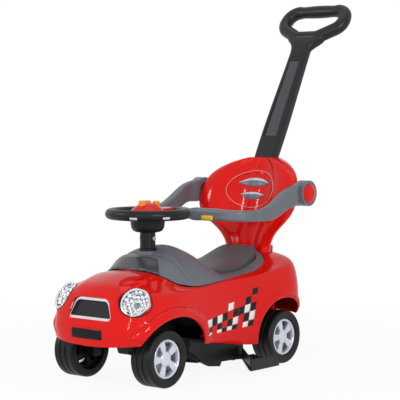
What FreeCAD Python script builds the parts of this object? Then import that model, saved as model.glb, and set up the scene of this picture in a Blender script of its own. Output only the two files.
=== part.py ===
import FreeCAD, Part
import math
import os

import Sketcher
from FreeCAD import Placement, Rotation, Vector

# Push car with a steering wheel, a swing-up guard, a backrest and a push handle.
# Frame: +X forward, +Y to the car's left, +Z up, millimetres, origin on the ground.
# Pieces are written with the origin under the middle of the overall box.

doc = FreeCAD.newDocument("push_car")
sheet = doc.addObject("Spreadsheet::Sheet", "Sizes")

DRIVING_SIZES = {
    # wheels and axles
    "wheel_radius": 63,
    "wheel_width": 56,
    "wheel_centre_y": 115,
    "rim_radius": 43,
    "hub_radius": 13,
    "axle_radius": 5,
    "running_gap": 0.06,
    "front_axle_x": 350,
    "rear_axle_x": -76,
    # steering
    "steering_x": 255,
    "steering_rim_radius": 84,
    "steering_tube_radius": 12,
    "steering_rim_z": 367,
    "steering_bowl_radius": 39,
    "column_radius": 17.5,
    "crank_length": 45,
    "kingpin_y": 78,
    "link_pin_radius": 4,
    "link_z": 75,
    "link_thickness": 4,
    # body
    "shell_wall": 3,
    "front_arch_x": 321,
    "front_arch_half_length": 103,
    "rear_arch_x": -64,
    "rear_arch_half_length": 92,
    "front_arch_z": 79,
    "rear_arch_z": 74,
    "front_arch_height": 73,
    "rear_arch_height": 85,
    # chassis
    "chassis_floor_z": 36,
    "chassis_wall": 3,
    "nose_half_width": 54,
    "nose_floor_z": 96,
    "pan_half_width": 117,
    "rear_half_width": 74,
    "skirt_top_z": 90,
    "nose_top_z": 180,
    "rear_top_z": 95,
    # seat and storage
    "seat_thickness": 14,
    "hinge_x": -80,
    "hinge_z": 266,
    "hinge_pin_radius": 2.5,
    "tub_half_width": 60,
    "tub_top_z": 206,
    # guard arms
    "guard_pivot_x": -131,
    "guard_pivot_z": 403,
    "guard_boss_radius": 30.5,
    "guard_boss_inner_y": 147,
    "guard_boss_outer_y": 172,
    "guard_post_radius": 12,
    "guard_button_radius": 22.5,
    "guard_joint_y": 22,
    # headlights
    "lamp_radius": 34,
    "lamp_x": 409,
    "lamp_y": 102,
    "lamp_z": 186,
    # footrests
    "footrest_outer_y": 192,
    "footrest_front_x": 120,
    "footrest_rear_x": 15,
    "footrest_floor_z": 12,
    "footrest_lip_top_z": 38,
    # handle
    "stem_length": 370,
    "grip_tube_radius": 16.5,
    # from the drawing origin to the middle of the overall length
    "frame_shift_x": 10.6,
}

for row, (alias, value) in enumerate(DRIVING_SIZES.items(), 1):
    sheet.set("A%d" % row, alias)
    sheet.set("B%d" % row, str(value))
    sheet.setAlias("B%d" % row, alias)
doc.recompute()


class Size:
    """A length that knows its present value and the sheet formula that gives it."""

    def __init__(self, value, formula):
        self.value = value
        self.formula = formula

    def combine(self, other, sign, result):
        return Size(result, "(%s %s %s)" % (self.formula, sign, text(other)))

    def __add__(self, other):
        return self.combine(other, "+", self.value + number(other))

    def __sub__(self, other):
        return self.combine(other, "-", self.value - number(other))

    def __mul__(self, other):
        return self.combine(other, "*", self.value * number(other))

    def __truediv__(self, other):
        return self.combine(other, "/", self.value / number(other))

    def __neg__(self):
        return Size(-self.value, "(-1 * %s)" % self.formula)


class SizeTable:
    """Gives each spreadsheet alias as a Size attribute."""

    def __getattr__(self, alias):
        return Size(float(sheet.get(alias)), "Sizes." + alias)


def number(length):
    return length.value if isinstance(length, Size) else float(length)


def text(length):
    return length.formula if isinstance(length, Size) else repr(float(length))


size = SizeTable()


def bind(item, prop, length):
    """Set a property to a number, or tie it to the sheet."""
    if isinstance(length, Size):
        item.setExpression(prop, length.formula)
    else:
        setattr(item, prop, length)


def place(item, x=0, y=0, z=0, turn=Rotation()):
    """Put an object at a point tied to the sheet, with a fixed turn."""
    item.Placement = Placement(Vector(number(x), number(y), number(z)), turn)
    for axis, length in zip("xyz", (x, y, z)):
        if isinstance(length, Size):
            item.setExpression("Placement.Base." + axis, length.formula)
    return item


TO_LEFT = Rotation(Vector(1, 0, 0), -90)
TO_RIGHT = Rotation(Vector(1, 0, 0), 90)
UPRIGHT = Rotation()


# Primitives and booleans

def box(label, x, y, z):
    """A box from three (low, high) pairs."""
    item = doc.addObject("Part::Box", label)
    for prop, (low, high) in zip(("Length", "Width", "Height"), (x, y, z)):
        low = low if isinstance(low, Size) else Size(float(low), repr(float(low)))
        bind(item, prop, Size(number(high) - low.value, "(%s - %s)" % (text(high), low.formula)))
    return place(item, x[0], y[0], z[0])


def cylinder(label, radius, length, x=0, y=0, z=0, turn=UPRIGHT):
    item = doc.addObject("Part::Cylinder", label)
    bind(item, "Radius", radius)
    bind(item, "Height", length)
    return place(item, x, y, z, turn)


def fuse(label, items):
    item = doc.addObject("Part::MultiFuse", label)
    item.Shapes = items
    item.Refine = True
    return item


def cut(label, base, tools):
    item = doc.addObject("Part::Cut", label)
    item.Base = base
    item.Tool = tools[0] if len(tools) == 1 else fuse(label + "_tools", tools)
    return item


def common(label, first, second):
    item = doc.addObject("Part::Common", label)
    item.Base = first
    item.Tool = second
    return item


def mirrored(label, source):
    """The right-hand twin of a left-hand piece."""
    item = doc.addObject("Part::Mirroring", label)
    item.Source = source
    item.Normal = Vector(0, 1, 0)
    return item


def freeform(label, shape):
    item = doc.addObject("Part::Feature", label)
    item.Shape = shape
    return item


# Sketched bodies

class Through:
    """A point that an arc passes through, between two corners of an outline."""

    def __init__(self, across, up):
        self.across = across
        self.up = up


class Ring:
    """A full circle in a sketch."""

    def __init__(self, across, up, radius):
        self.across = across
        self.up = up
        self.radius = radius


def pin_point(sketch, geometry, end, across, up):
    """Hold one sketch point at its distances from the origin."""
    for kind, axis, length in (("DistanceX", -2, across), ("DistanceY", -1, up)):
        if number(length) == 0:
            sketch.addConstraint(Sketcher.Constraint("PointOnObject", geometry, end, axis))
            continue
        index = sketch.addConstraint(Sketcher.Constraint(kind, -1, 1, geometry, end, number(length)))
        if isinstance(length, Size):
            sketch.setExpression("Constraints[%d]" % index, length.formula)


def draw_ring(sketch, ring):
    centre = Vector(number(ring.across), number(ring.up), 0)
    circle = sketch.addGeometry(Part.Circle(centre, Vector(0, 0, 1), number(ring.radius)))
    pin_point(sketch, circle, 3, ring.across, ring.up)
    index = sketch.addConstraint(Sketcher.Constraint("Radius", circle, number(ring.radius)))
    if isinstance(ring.radius, Size):
        sketch.setExpression("Constraints[%d]" % index, ring.radius.formula)


def draw_loop(sketch, outline):
    """Draw one closed outline of corners joined by lines, or by arcs where a Through stands."""
    corners = [item for item in outline if not isinstance(item, Through)]
    points = [Vector(number(a), number(b), 0) for a, b in corners]
    bends = {}
    seen = -1
    for item in outline:
        if isinstance(item, Through):
            bends[seen] = Vector(number(item.across), number(item.up), 0)
        else:
            seen += 1
    ends = []
    for i, start in enumerate(points):
        finish = points[(i + 1) % len(points)]
        if i in bends:
            leftward = (bends[i] - start).cross(finish - bends[i]).z > 0
            curve = Part.Arc(start, bends[i], finish) if leftward else Part.Arc(finish, bends[i], start)
        else:
            curve = Part.LineSegment(start, finish)
        index = sketch.addGeometry(curve)
        ahead = sketch.Geometry[index].StartPoint.distanceToPoint(start) < 1e-6
        ends.append((index, 1 if ahead else 2, 2 if ahead else 1))
    for i, (index, first, last) in enumerate(ends):
        following = ends[(i + 1) % len(ends)]
        sketch.addConstraint(Sketcher.Constraint("Coincident", index, last, following[0], following[1]))
    for (index, first, last), (across, up) in zip(ends, corners):
        pin_point(sketch, index, first, across, up)


def sketch_on(body, plane, loops, name):
    sketch = body.newObject("Sketcher::SketchObject", name)
    support = next(item for item in body.Origin.OriginFeatures if item.Role == plane)
    sketch.AttachmentSupport = [(support, "")]
    sketch.MapMode = "FlatFace"
    for loop in loops:
        if isinstance(loop, Ring):
            draw_ring(sketch, loop)
        else:
            draw_loop(sketch, loop)
    return sketch


def lift(sketch, height):
    """Move a sketch along its plane's normal."""
    sketch.AttachmentOffset = Placement(Vector(0, 0, number(height)), Rotation())
    if isinstance(height, Size):
        sketch.setExpression("AttachmentOffset.Base.z", height.formula)


def new_body(label):
    return doc.addObject("PartDesign::Body", label)


def pad(body, plane, loops, length, height=0, name="pad"):
    sketch = sketch_on(body, plane, loops, "%s_%s_outline" % (body.Name, name))
    lift(sketch, height)
    feature = body.newObject("PartDesign::Pad", "%s_%s" % (body.Name, name))
    feature.Profile = sketch
    bind(feature, "Length", length)
    return feature


def pocket(body, plane, loops, length, height=0, name="pocket"):
    """Cut from a sketch plane towards the sketch normal's back side."""
    sketch = sketch_on(body, plane, loops, "%s_%s_outline" % (body.Name, name))
    lift(sketch, height)
    feature = body.newObject("PartDesign::Pocket", "%s_%s" % (body.Name, name))
    feature.Profile = sketch
    bind(feature, "Length", length)
    return feature


def revolve(body, loops, name="turning"):
    """Turn (radius, height) outlines about the body's Z axis."""
    sketch = sketch_on(body, "XZ_Plane", loops, "%s_%s_outline" % (body.Name, name))
    feature = body.newObject("PartDesign::Revolution", "%s_%s" % (body.Name, name))
    feature.Profile = sketch
    feature.ReferenceAxis = (sketch, ["V_Axis"])
    feature.Angle = 360
    return feature


def polar(body, feature, count):
    pattern = body.newObject("PartDesign::PolarPattern", feature.Name + "_ring")
    pattern.Originals = [feature]
    pattern.Axis = (feature.Profile[0], ["N_Axis"])
    pattern.Angle = 360
    pattern.Occurrences = count
    body.Tip = pattern
    return pattern


# Curves and skins

def smoothstep(low, high, value):
    share = min(max((value - low) / (high - low), 0.0), 1.0)
    return share * share * (3 - 2 * share)


def along(table, value):
    """Monotone cubic through a few (position, value) pairs, level beyond the ends."""
    if value <= table[0][0]:
        return table[0][1]
    if value >= table[-1][0]:
        return table[-1][1]
    slopes = [(b[1] - a[1]) / (b[0] - a[0]) for a, b in zip(table, table[1:])]
    tangents = [slopes[0]]
    for before, after in zip(slopes, slopes[1:]):
        tangents.append(0.0 if before * after <= 0 else 2 * before * after / (before + after))
    tangents.append(slopes[-1])
    i = max(k for k in range(len(table) - 1) if table[k][0] <= value)
    run = table[i + 1][0] - table[i][0]
    t = (value - table[i][0]) / run
    rise = table[i + 1][1] - table[i][1]
    start = tangents[i] * run
    finish = tangents[i + 1] * run
    bend = 3 * rise - 2 * start - finish
    twist = start + finish - 2 * rise
    return table[i][1] + t * (start + t * (bend + t * twist))


def spread(low, high, count):
    return [low + (high - low) * i / (count - 1) for i in range(count)]


def spline(points, stations):
    """A cubic through points at given parameter values."""
    curve = Part.BSplineCurve()
    curve.interpolate(Points=points, Parameters=stations)
    return curve


def skin(grid, rows=None, columns=None):
    """A bicubic skin through a grid of points, fitted first along and then across its rows."""
    rows = rows or [float(i) for i in range(len(grid))]
    columns = columns or [float(j) for j in range(len(grid[0]))]
    lines = [spline(line, columns) for line in grid]
    poles = [line.getPoles() for line in lines]
    bands = [spline([line[j] for line in poles], rows) for j in range(len(poles[0]))]
    net = [list(line) for line in zip(*[band.getPoles() for band in bands])]
    surface = Part.BSplineSurface()
    surface.buildFromPolesMultsKnots(net, bands[0].getMultiplicities(), lines[0].getMultiplicities(),
                                     bands[0].getKnots(), lines[0].getKnots(), False, False, 3, 3)
    return surface


def closed_solid(faces):
    shell = Part.makeShell(faces)
    shell.sewShape()
    solid = Part.makeSolid(shell)
    if solid.Volume < 0:
        solid.reverse()
    return solid


def borders(surface):
    """The four edges of a skin: first and last in each direction."""
    u0, u1, v0, v1 = surface.bounds()
    return [surface.uIso(u0), surface.uIso(u1), surface.vIso(v0), surface.vIso(v1)]


def slab(top_grid, bottom_grid, rows, columns):
    """A solid between two skins of the same layout, with ruled sides."""
    top = skin(top_grid, rows, columns)
    bottom = skin(bottom_grid, rows, columns)
    faces = [top.toShape(), bottom.toShape()]
    for upper, lower in zip(borders(top), borders(bottom)):
        faces.append(Part.makeRuledSurface(upper.toShape(), lower.toShape()))
    return closed_solid(faces)


def half_ring(half, count):
    """Points along the left half of a smooth closed loop that is mirrored in Y."""
    curve = Part.BSplineCurve()
    curve.interpolate(both_sides(half), PeriodicFlag=True)
    reach = (curve.LastParameter - curve.FirstParameter) / 2
    points = [curve.value(curve.FirstParameter + reach * share) for share in spread(0, 1, count)]
    points[0].y = 0
    points[-1].y = 0
    return points


def mirror_grid(grid):
    return [[Vector(p.x, -p.y, p.z) for p in line] for line in grid]


def stacked_solid(grid, levels):
    """A solid skinned over level half-rings and their mirror images, closed by flat ends."""
    halves = [skin(grid, levels), skin(mirror_grid(grid), levels)]
    faces = [half.toShape() for half in halves]
    for end in (0, 1):
        rim = Part.Wire([borders(half)[end].toShape() for half in halves])
        faces.append(Part.Face(rim))
    return closed_solid(faces)


def smooth_loop(points):
    """A closed smooth wire through points."""
    curve = Part.BSplineCurve()
    curve.interpolate(points, PeriodicFlag=True)
    return Part.Wire([curve.toShape()])


def both_sides(half):
    """Mirror a front-to-rear half outline in Y into a closed loop of points."""
    return half + [Vector(p.x, -p.y, p.z) for p in reversed(half[1:-1])]


def prism(points, low, high):
    base = [Vector(p.x, p.y, low) for p in points]
    return Part.Face(smooth_loop(base)).extrude(Vector(0, 0, high - low))


def corner_arcs(corners, radii):
    """Start, middle and finish of the tangent arc at each corner of a closed outline."""
    runs = []
    for i, corner in enumerate(corners):
        back = (corners[i - 1] - corner).normalize()
        ahead = (corners[(i + 1) % len(corners)] - corner).normalize()
        half_turn = back.getAngle(ahead) / 2
        reach = radii[i] / math.tan(half_turn)
        inward = (back + ahead).normalize()
        middle = corner + inward * (radii[i] / math.sin(half_turn) - radii[i])
        runs.append((corner + back * reach, middle, corner + ahead * reach))
    return runs


def rounded_loop(corners, radii):
    """A sketch outline with each corner turned by an arc."""
    outline = []
    for start, middle, finish in corner_arcs([Vector(a, b, 0) for a, b in corners], radii):
        outline += [(start.x, start.y), Through(middle.x, middle.y), (finish.x, finish.y)]
    return outline


def ring_sector(inner, outer, degrees, centre=0):
    """A sketch outline between two radii, as wide as an angle."""
    low = math.radians(centre - degrees / 2)
    middle = math.radians(centre)
    high = math.radians(centre + degrees / 2)

    def at(radius, turn):
        return radius * math.cos(turn), radius * math.sin(turn)

    return [at(inner, low), at(outer, low), Through(*at(outer, middle)),
            at(outer, high), at(inner, high), Through(*at(inner, middle))]


def rounded_wire(corners, radii):
    """A closed planar wire of straight runs with a tangent arc at each corner."""
    runs = corner_arcs(corners, radii)
    edges = []
    for i, (start, middle, finish) in enumerate(runs):
        edges.append(Part.Arc(start, middle, finish).toShape())
        edges.append(Part.LineSegment(finish, runs[(i + 1) % len(runs)][0]).toShape())
    return Part.Wire(edges)


def rounded_rectangle(centre, across, up, width, height, radius):
    """A rounded rectangle in the plane of two unit vectors."""
    a = across * (width / 2)
    b = up * (height / 2)
    corners = [centre - a - b, centre + a - b, centre + a + b, centre - a + b]
    return rounded_wire(corners, [radius] * 4)


# Red body shell

# Around the left side from the nose to the tail: foot of the wall (x, y), belt line
# point (x, y, z), lower edge height, shoulder share of the way to the belt, shoulder height.
BODY_COLUMNS = [
    ((453, 0), (315, 0, 244), 90, 0.17, 214),
    ((453, 42), (312, 42, 243), 91, 0.17, 213),
    ((447, 90), (305, 80, 236), 94, 0.18, 208),
    ((429, 128), (295, 98, 225), 99, 0.20, 203),
    ((382, 143), (279, 112, 214), 99, 0.20, 202),
    ((325, 146), (252, 119, 209), 92, 0.20, 204),
    ((262, 139), (222, 122, 207), 83, 0.15, 203),
    ((195, 133), (180, 123, 209), 80, 0.12, 204),
    ((125, 132), (122, 121, 215), 70, 0.12, 210),
    ((55, 138), (58, 117, 221), 57, 0.14, 216),
    ((-15, 147), (0, 109, 224), 58, 0.16, 222),
    ((-85, 153), (-45, 97, 231), 96, 0.20, 232),
    ((-143, 147), (-80, 83, 246), 112, 0.24, 245),
    ((-170, 96), (-100, 54, 259), 113, 0.22, 257),
    ((-170, 0), (-106, 0, 265), 113, 0.20, 263),
]
SILL_TUCK = 5
FLARE_STEP = 5
FLARE_BAND = 21
BUMPER_STEP = 4
BUMPER_TOP_Z = 141
HOOD_STEP = 4


def wall_poles(column):
    """Control points of one body section, from the lower edge up to the belt line."""
    (ox, oy), (tx, ty, tz), low, share, shoulder = column
    foot = Vector(ox, oy, 0)
    inward = Vector(tx - ox, ty - oy, 0)
    tuck = Vector(inward).normalize() * SILL_TUCK
    rise = shoulder - low

    def at(fraction, z):
        return foot + inward * fraction + Vector(0, 0, z)

    return [
        at(0, low) + tuck,
        at(0, low + 0.14 * rise),
        at(0, low + 0.5 * rise),
        at(share * 0.4, low + 0.84 * rise),
        at(share, shoulder),
        at(0.55, shoulder + (tz - shoulder) * 0.6),
        Vector(tx, ty, tz),
    ]


def control_skin(net):
    """A cubic skin pulled by a net of control points, clamped at its edges."""
    rows = len(net)
    columns = len(net[0])
    surface = Part.BSplineSurface()
    surface.buildFromPolesMultsKnots(
        net,
        [4] + [1] * (rows - 4) + [4],
        [4] + [1] * (columns - 4) + [4],
        [float(i) for i in range(rows - 2)],
        [float(i) for i in range(columns - 2)],
        False, False, 3, 3)
    return surface


def arch_distance(point, x, z, half_length, height):
    """Distance outside an elliptic wheel arch, in the side view."""
    reach = math.hypot((point.x - x) / half_length, (point.z - z) / height)
    return (reach - 1) * 0.5 * (half_length + height)


def body_point(surface, u, v, top):
    """A point of the outer skin, with flares, bumper step and raised hood."""
    point = surface.value(u, v)
    if top - v < 1e-9:
        return point
    front = arch_distance(point, number(size.front_arch_x), number(size.front_arch_z),
                          number(size.front_arch_half_length), number(size.front_arch_height))
    rear = arch_distance(point, number(size.rear_arch_x), number(size.rear_arch_z),
                         number(size.rear_arch_half_length), number(size.rear_arch_height))
    beside = smoothstep(100, 128, point.y)
    flare = FLARE_STEP * beside * (1 - smoothstep(FLARE_BAND - 5, FLARE_BAND + 5, front))
    flare += 0.5 * FLARE_STEP * beside * (1 - smoothstep(8, 20, rear))
    point.y += flare
    nose = smoothstep(395, 425, point.x) * (1 - smoothstep(BUMPER_TOP_Z - 4, BUMPER_TOP_Z + 5, point.z))
    point.x += BUMPER_STEP * nose * smoothstep(420, 445, point.x)
    crease = 62 + (425 - point.x) * 0.25
    on_hood = smoothstep(300, 330, point.x) * smoothstep(205, 216, point.z)
    point.z += HOOD_STEP * on_hood * (1 - smoothstep(crease - 8, crease + 8, abs(point.y)))
    return point


def body_grids():
    """Points of the left outer skin and of the inner skin one wall inside it."""
    base = control_skin([wall_poles(column) for column in BODY_COLUMNS])
    u0, u1, v0, v1 = base.bounds()
    outer = [[body_point(base, u, v, v1) for v in spread(v0, v1, 19)] for u in spread(u0, u1, 61)]
    refined = skin(outer)
    a0, a1, b0, b1 = refined.bounds()
    wall = number(size.shell_wall)
    inner = []
    for a in spread(a0, a1, 61):
        line = []
        for b in spread(b0, b1, 19):
            normal = refined.normal(a, b)
            if a in (a0, a1):
                normal.y = 0
                normal.normalize()
            line.append(refined.value(a, b) - normal * wall)
        inner.append(line)
    return outer, inner


BODY_OUTER, BODY_INNER = body_grids()
BELT = [line[-1] for line in BODY_OUTER]


def body_shell_solid():
    faces = []
    for outer_grid, inner_grid in ((BODY_OUTER, BODY_INNER),
                                   (mirror_grid(BODY_OUTER), mirror_grid(BODY_INNER))):
        outer = skin(outer_grid)
        inner = skin(inner_grid)
        faces += [outer.toShape(), inner.toShape()]
        for upper, lower in list(zip(borders(outer), borders(inner)))[2:]:
            faces.append(Part.makeRuledSurface(upper.toShape(), lower.toShape()))
    return closed_solid(faces)


def arch_tool(label, x, z, half_length, height):
    """An elliptic prism across the whole car that opens both wheel arches."""
    outline = doc.addObject("Part::Ellipse", label + "_outline")
    bind(outline, "MajorRadius", half_length)
    bind(outline, "MinorRadius", height)
    place(outline, x, size.wheel_centre_y + 60, z, TO_RIGHT)
    item = doc.addObject("Part::Extrusion", label)
    item.Base = outline
    item.Dir = Vector(0, -1, 0)
    item.LengthFwd = 2 * (number(size.wheel_centre_y) + 60)
    item.Solid = True
    return item


LAMP_AIM = Vector(0.80, 0.25, 0.54).normalize()
LAMP_TURN = Rotation(Vector(0, 0, 1), LAMP_AIM)
GRILLE_TILT = 13
GRILLE_CENTRE = (435, 169.5)
GRILLE_HALF_HEIGHT = 24
GRILLE_HALF_WIDTHS = (66, 51)
GRILLE_RADII = (9, 21)
GRILLE_RIM = 6
GRILLE_TURN = Rotation(Vector(0, 1, 0), -GRILLE_TILT)


def grille_loop(margin):
    """Trapezoid seen from the front, grown or shrunk by a margin."""
    low = GRILLE_HALF_WIDTHS[0] + margin
    high = GRILLE_HALF_WIDTHS[1] + margin
    up = GRILLE_HALF_HEIGHT + margin
    bottom, top = [radius + margin for radius in GRILLE_RADII]
    return rounded_loop([(-low, -up), (low, -up), (high, up), (-high, up)], [bottom, bottom, top, top])


def grille_block(label, loops, back, front):
    """A pad across the front of the car between two depths from the grille plane."""
    body = new_body(label)
    pad(body, "YZ_Plane", loops, front - back, back)
    return place(body, GRILLE_CENTRE[0], 0, GRILLE_CENTRE[1], GRILLE_TURN)


def lamp_bore(label, radius, depth):
    """A cylinder along the left headlight's aim, ending at the lamp centre plus 20."""
    start = Vector(number(size.lamp_x), number(size.lamp_y), number(size.lamp_z)) + LAMP_AIM * (20 - depth)
    item = cylinder(label, radius, depth)
    item.Placement = Placement(start, LAMP_TURN)
    return item


HOOD_POST = (400, 34)
TRIM_POSTS = ((150, 95), (98, 95))
FLOOR_SCREWS = [HOOD_POST + (size.nose_floor_z,)] + [post + (size.chassis_floor_z,) for post in TRIM_POSTS]
SCREW_RADIUS = 3
TAIL_POST = (-125, 68)
TAIL_POST_TOP = 254
TONGUE_X = (-150, -112)
TONGUE_HALF_WIDTH = 50


def screw_bores(label, radius):
    """Bores up through the floors into the posts that stand on them."""
    bores = []
    for x, y, base in FLOOR_SCREWS:
        for side in (1, -1):
            bores.append(cylinder(label, radius, 26, x, side * y, base - 1))
    return bores


def build_body_shell():
    skin_solid = freeform("shell_skin", body_shell_solid())
    arches = [
        arch_tool("front_arch", size.front_arch_x, size.front_arch_z,
                  size.front_arch_half_length, size.front_arch_height),
        arch_tool("rear_arch", size.rear_arch_x, size.rear_arch_z,
                  size.rear_arch_half_length, size.rear_arch_height),
    ]
    lamp = lamp_bore("lamp_hole_left", size.lamp_radius, 60)
    openings = arches + [lamp, mirrored("lamp_hole_right", lamp)]
    openings.append(grille_block("grille_hole", [grille_loop(0)], -30, 30))
    openings.append(box("tongue_slot", (TONGUE_X[0] - 1, TONGUE_X[1] + 1),
                        (-TONGUE_HALF_WIDTH - 1, TONGUE_HALF_WIDTH + 1), (200, 300)))
    wall = cut("shell_wall_cut", skin_solid, openings)
    floor_top = size.nose_floor_z + size.chassis_wall
    pieces = [wall]
    for side in (1, -1):
        pieces.append(cylinder("hood_post", 7, Size(223, "223") - floor_top,
                               HOOD_POST[0], side * HOOD_POST[1], floor_top))
        pieces.append(cylinder("tail_post", 6, Size(TAIL_POST_TOP, str(TAIL_POST_TOP)) - size.rear_top_z,
                               TAIL_POST[0], side * TAIL_POST[1], size.rear_top_z))
        for x, reach in ((190, 129.5), (80, 133)):
            edge = (106, reach) if side > 0 else (-reach, -106)
            pieces.append(box("skirt_lug", (x - 6, x + 6), edge, (size.skirt_top_z, size.skirt_top_z + 6)))
    return cut("body_shell", fuse("shell_solid", pieces), screw_bores("shell_screw_bore", SCREW_RADIUS))


def build_grille():
    frame = grille_block("grille_frame", [grille_loop(0), grille_loop(-GRILLE_RIM)], -5, 5)
    return [frame, grille_block("grille_mesh", [grille_loop(-GRILLE_RIM)], -5, -2)]


def aimed(body):
    body.Placement = Placement(
        Vector(number(size.lamp_x), number(size.lamp_y), number(size.lamp_z)), LAMP_TURN)
    return body


def build_headlights():
    """A chromed bowl in a deep sleeve with a bezel, and a domed clear lens, on each side."""
    r = size.lamp_radius
    bowl = new_body("headlight_reflector_left")
    revolve(bowl, [[(0, -16), (16, -15), (r - 2.5, -4), (r - 2.5, -20), (r, -20), (r, 7), (r - 2, 9),
                    (r - 5, 7), (r - 5, 0), (14, -12), (0, -13)]])
    lens = new_body("headlight_lens_left")
    revolve(lens, [[(0, 7), (r - 5, 3), (r - 5, 6), Through((r - 5) * 0.55, 10.5), (1.5, 12), (0, 12)]])
    parts = []
    for left in (aimed(bowl), aimed(lens)):
        parts += [left, mirrored(left.Label.replace("left", "right"), left)]
    return parts


# Wheels, hub caps and axles

def build_wheel(label, axle_x):
    r = size.wheel_radius
    w = size.wheel_width / 2
    bore = size.axle_radius + size.running_gap
    hub = size.hub_radius
    rim = size.rim_radius
    outline = [(bore, -24), (hub, -24), (hub, -10), (rim - 1, -14), (rim + 3, -w + 1), (r - 6, -w)]
    outline += [Through(r - 1.5, -w + 2), (r, -w + 7)]
    for groove in (-8, 8):
        outline += [(r, groove - 2), (r - 2.5, groove - 1), (r - 2.5, groove + 1), (r, groove + 2)]
    outline += [(r, w - 7), Through(r - 1.5, w - 2), (r - 6, w), (rim + 3, w - 1), (rim, w - 6)]
    outline += [(rim, -8), (hub, -4), (hub, 14), (bore, 14)]
    body = new_body(label)
    revolve(body, [outline])
    window = pocket(body, "XY_Plane", [ring_sector(17, 38, 48)], 40, 10, "web_window")
    polar(body, window, 5)
    return place(body, axle_x, size.wheel_centre_y, size.wheel_radius, TO_LEFT)


def build_hub_cap(label, axle_x):
    """A five-spoke cap pressed into the rim, hollow in the middle for the axle end."""
    rim = size.rim_radius
    body = new_body(label)
    revolve(body, [[(13.6, 8), (rim, 8), (rim, 22), Through(rim - 2, 24.2), (rim - 5, 23), (rim - 7, 11),
                    (17, 12), (16, 21), Through(11, 23.6), (1.5, 24.4), (0, 24.4), (0, 20.5), (11, 20.5),
                    (11, 14.6), (13.6, 14.6)]])
    spoke = pad(body, "XY_Plane", [[(14, -5.5), (rim - 5, -9.5), (rim - 5, 9.5), (14, 5.5)]], 10, 10,
                "spoke")
    polar(body, spoke, 5)
    slot = pocket(body, "XY_Plane", [ring_sector(29.5, 34.5, 40, 180)], 12, 14, "window")
    polar(body, slot, 5)
    return place(body, axle_x, size.wheel_centre_y, size.wheel_radius, TO_LEFT)


def build_wheels():
    parts = []
    for end, x in (("front", size.front_axle_x), ("rear", size.rear_axle_x)):
        for maker, name in ((build_wheel, "wheel"), (build_hub_cap, "hub_cap")):
            left = maker("%s_%s_left" % (name, end), x)
            parts += [left, mirrored("%s_%s_right" % (name, end), left)]
    return parts


def axle_cap(label, axle_x, side):
    """A pressed cap with a blind bore on the end of an axle."""
    r = size.axle_radius
    body = new_body(label)
    revolve(body, [[(r, 0), (8.5, 0), (8.5, 3), (7, 4), (0, 4), (0, 1.6), (r, 1.6)]])
    y = size.wheel_centre_y + 14.4
    return place(body, axle_x, y if side > 0 else -y, size.wheel_radius, TO_LEFT if side > 0 else TO_RIGHT)


def build_axles():
    end = size.wheel_centre_y + 16
    rear = cylinder("rear_axle", size.axle_radius, end * 2, size.rear_axle_x, -end, size.wheel_radius,
                    TO_LEFT)
    rear_caps = fuse("rear_axle_caps", [axle_cap("rear_cap", size.rear_axle_x, side) for side in (1, -1)])
    inner = size.kingpin_y - 2
    front = cylinder("front_axle_left", size.axle_radius, end - inner, size.front_axle_x, inner,
                     size.wheel_radius, TO_LEFT)
    front_cap = axle_cap("front_axle_cap_left", size.front_axle_x, 1)
    return [rear, rear_caps, front, mirrored("front_axle_right", front),
            front_cap, mirrored("front_axle_cap_right", front_cap)]


# Steering: knuckles, tie plate, rod, sleeve, wheel

def rounded_bar(label, x, y, end_radius, low, high):
    """A bar along X with round ends, from two (x) ends at one y."""
    return fuse(label, [
        cylinder(label + "_end", end_radius, high - low, x[0], y, low),
        cylinder(label + "_end", end_radius, high - low, x[1], y, low),
        box(label + "_run", x, (y - end_radius, y + end_radius), (low, high)),
    ])


KINGPIN_BOSS_Z = (84, 124)
KINGPIN_BOSS_RADIUS = 8.5


def build_knuckles():
    x = size.front_axle_x
    y = size.kingpin_y
    arm_end = x - size.crank_length
    pieces = [
        box("knuckle_block", (x - 12, x + 12), (y - 12, y + 11), (50, KINGPIN_BOSS_Z[0] - 0.5)),
        cylinder("kingpin", size.axle_radius, 40, x, y, KINGPIN_BOSS_Z[0] - 2),
        rounded_bar("steering_arm", (arm_end, x - 5), y, 7, size.link_z - 9, size.link_z - 1),
        cylinder("arm_pin", size.link_pin_radius, 10, arm_end, y, size.link_z - 2),
    ]
    bore = cylinder("stub_bore", size.axle_radius, 20, x, y - 2, size.wheel_radius, TO_LEFT)
    left = cut("knuckle_left", fuse("knuckle_solid", pieces), [bore])
    return [left, mirrored("knuckle_right", left)]


def build_tie_plate():
    """A flat plate from pin to pin, with a window that the steering rod passes through."""
    bar_x = size.front_axle_x - size.crank_length
    crank_x = size.steering_x - size.crank_length
    hole = size.link_pin_radius + size.running_gap
    y = size.kingpin_y
    body = new_body("tie_plate")
    outline = [(bar_x + 7, -y), (bar_x + 7, y), Through(bar_x, y + 7), (bar_x - 7, y), (bar_x - 7, 36),
               (crank_x + 8, 34), (crank_x - 10, 10), (crank_x - 10, -10), (crank_x + 8, -34),
               (bar_x - 7, -36), (bar_x - 7, -y), Through(bar_x, -y - 7)]
    window = [(bar_x - 14, -24), (crank_x + 12, -24), (crank_x + 12, 24), (bar_x - 14, 24)]
    pad(body, "XY_Plane", [outline, window, Ring(bar_x, y, hole), Ring(bar_x, -y, hole),
                           Ring(crank_x, 0, hole)], size.link_thickness)
    return place(body, 0, 0, size.link_z)


ROD_BOTTOM_Z = 44
ROD_TOP_Z = 331
SLEEVE_Z = (284, 326)
BOLT_Z = 312
BOLT_RADIUS = 2.5


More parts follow.
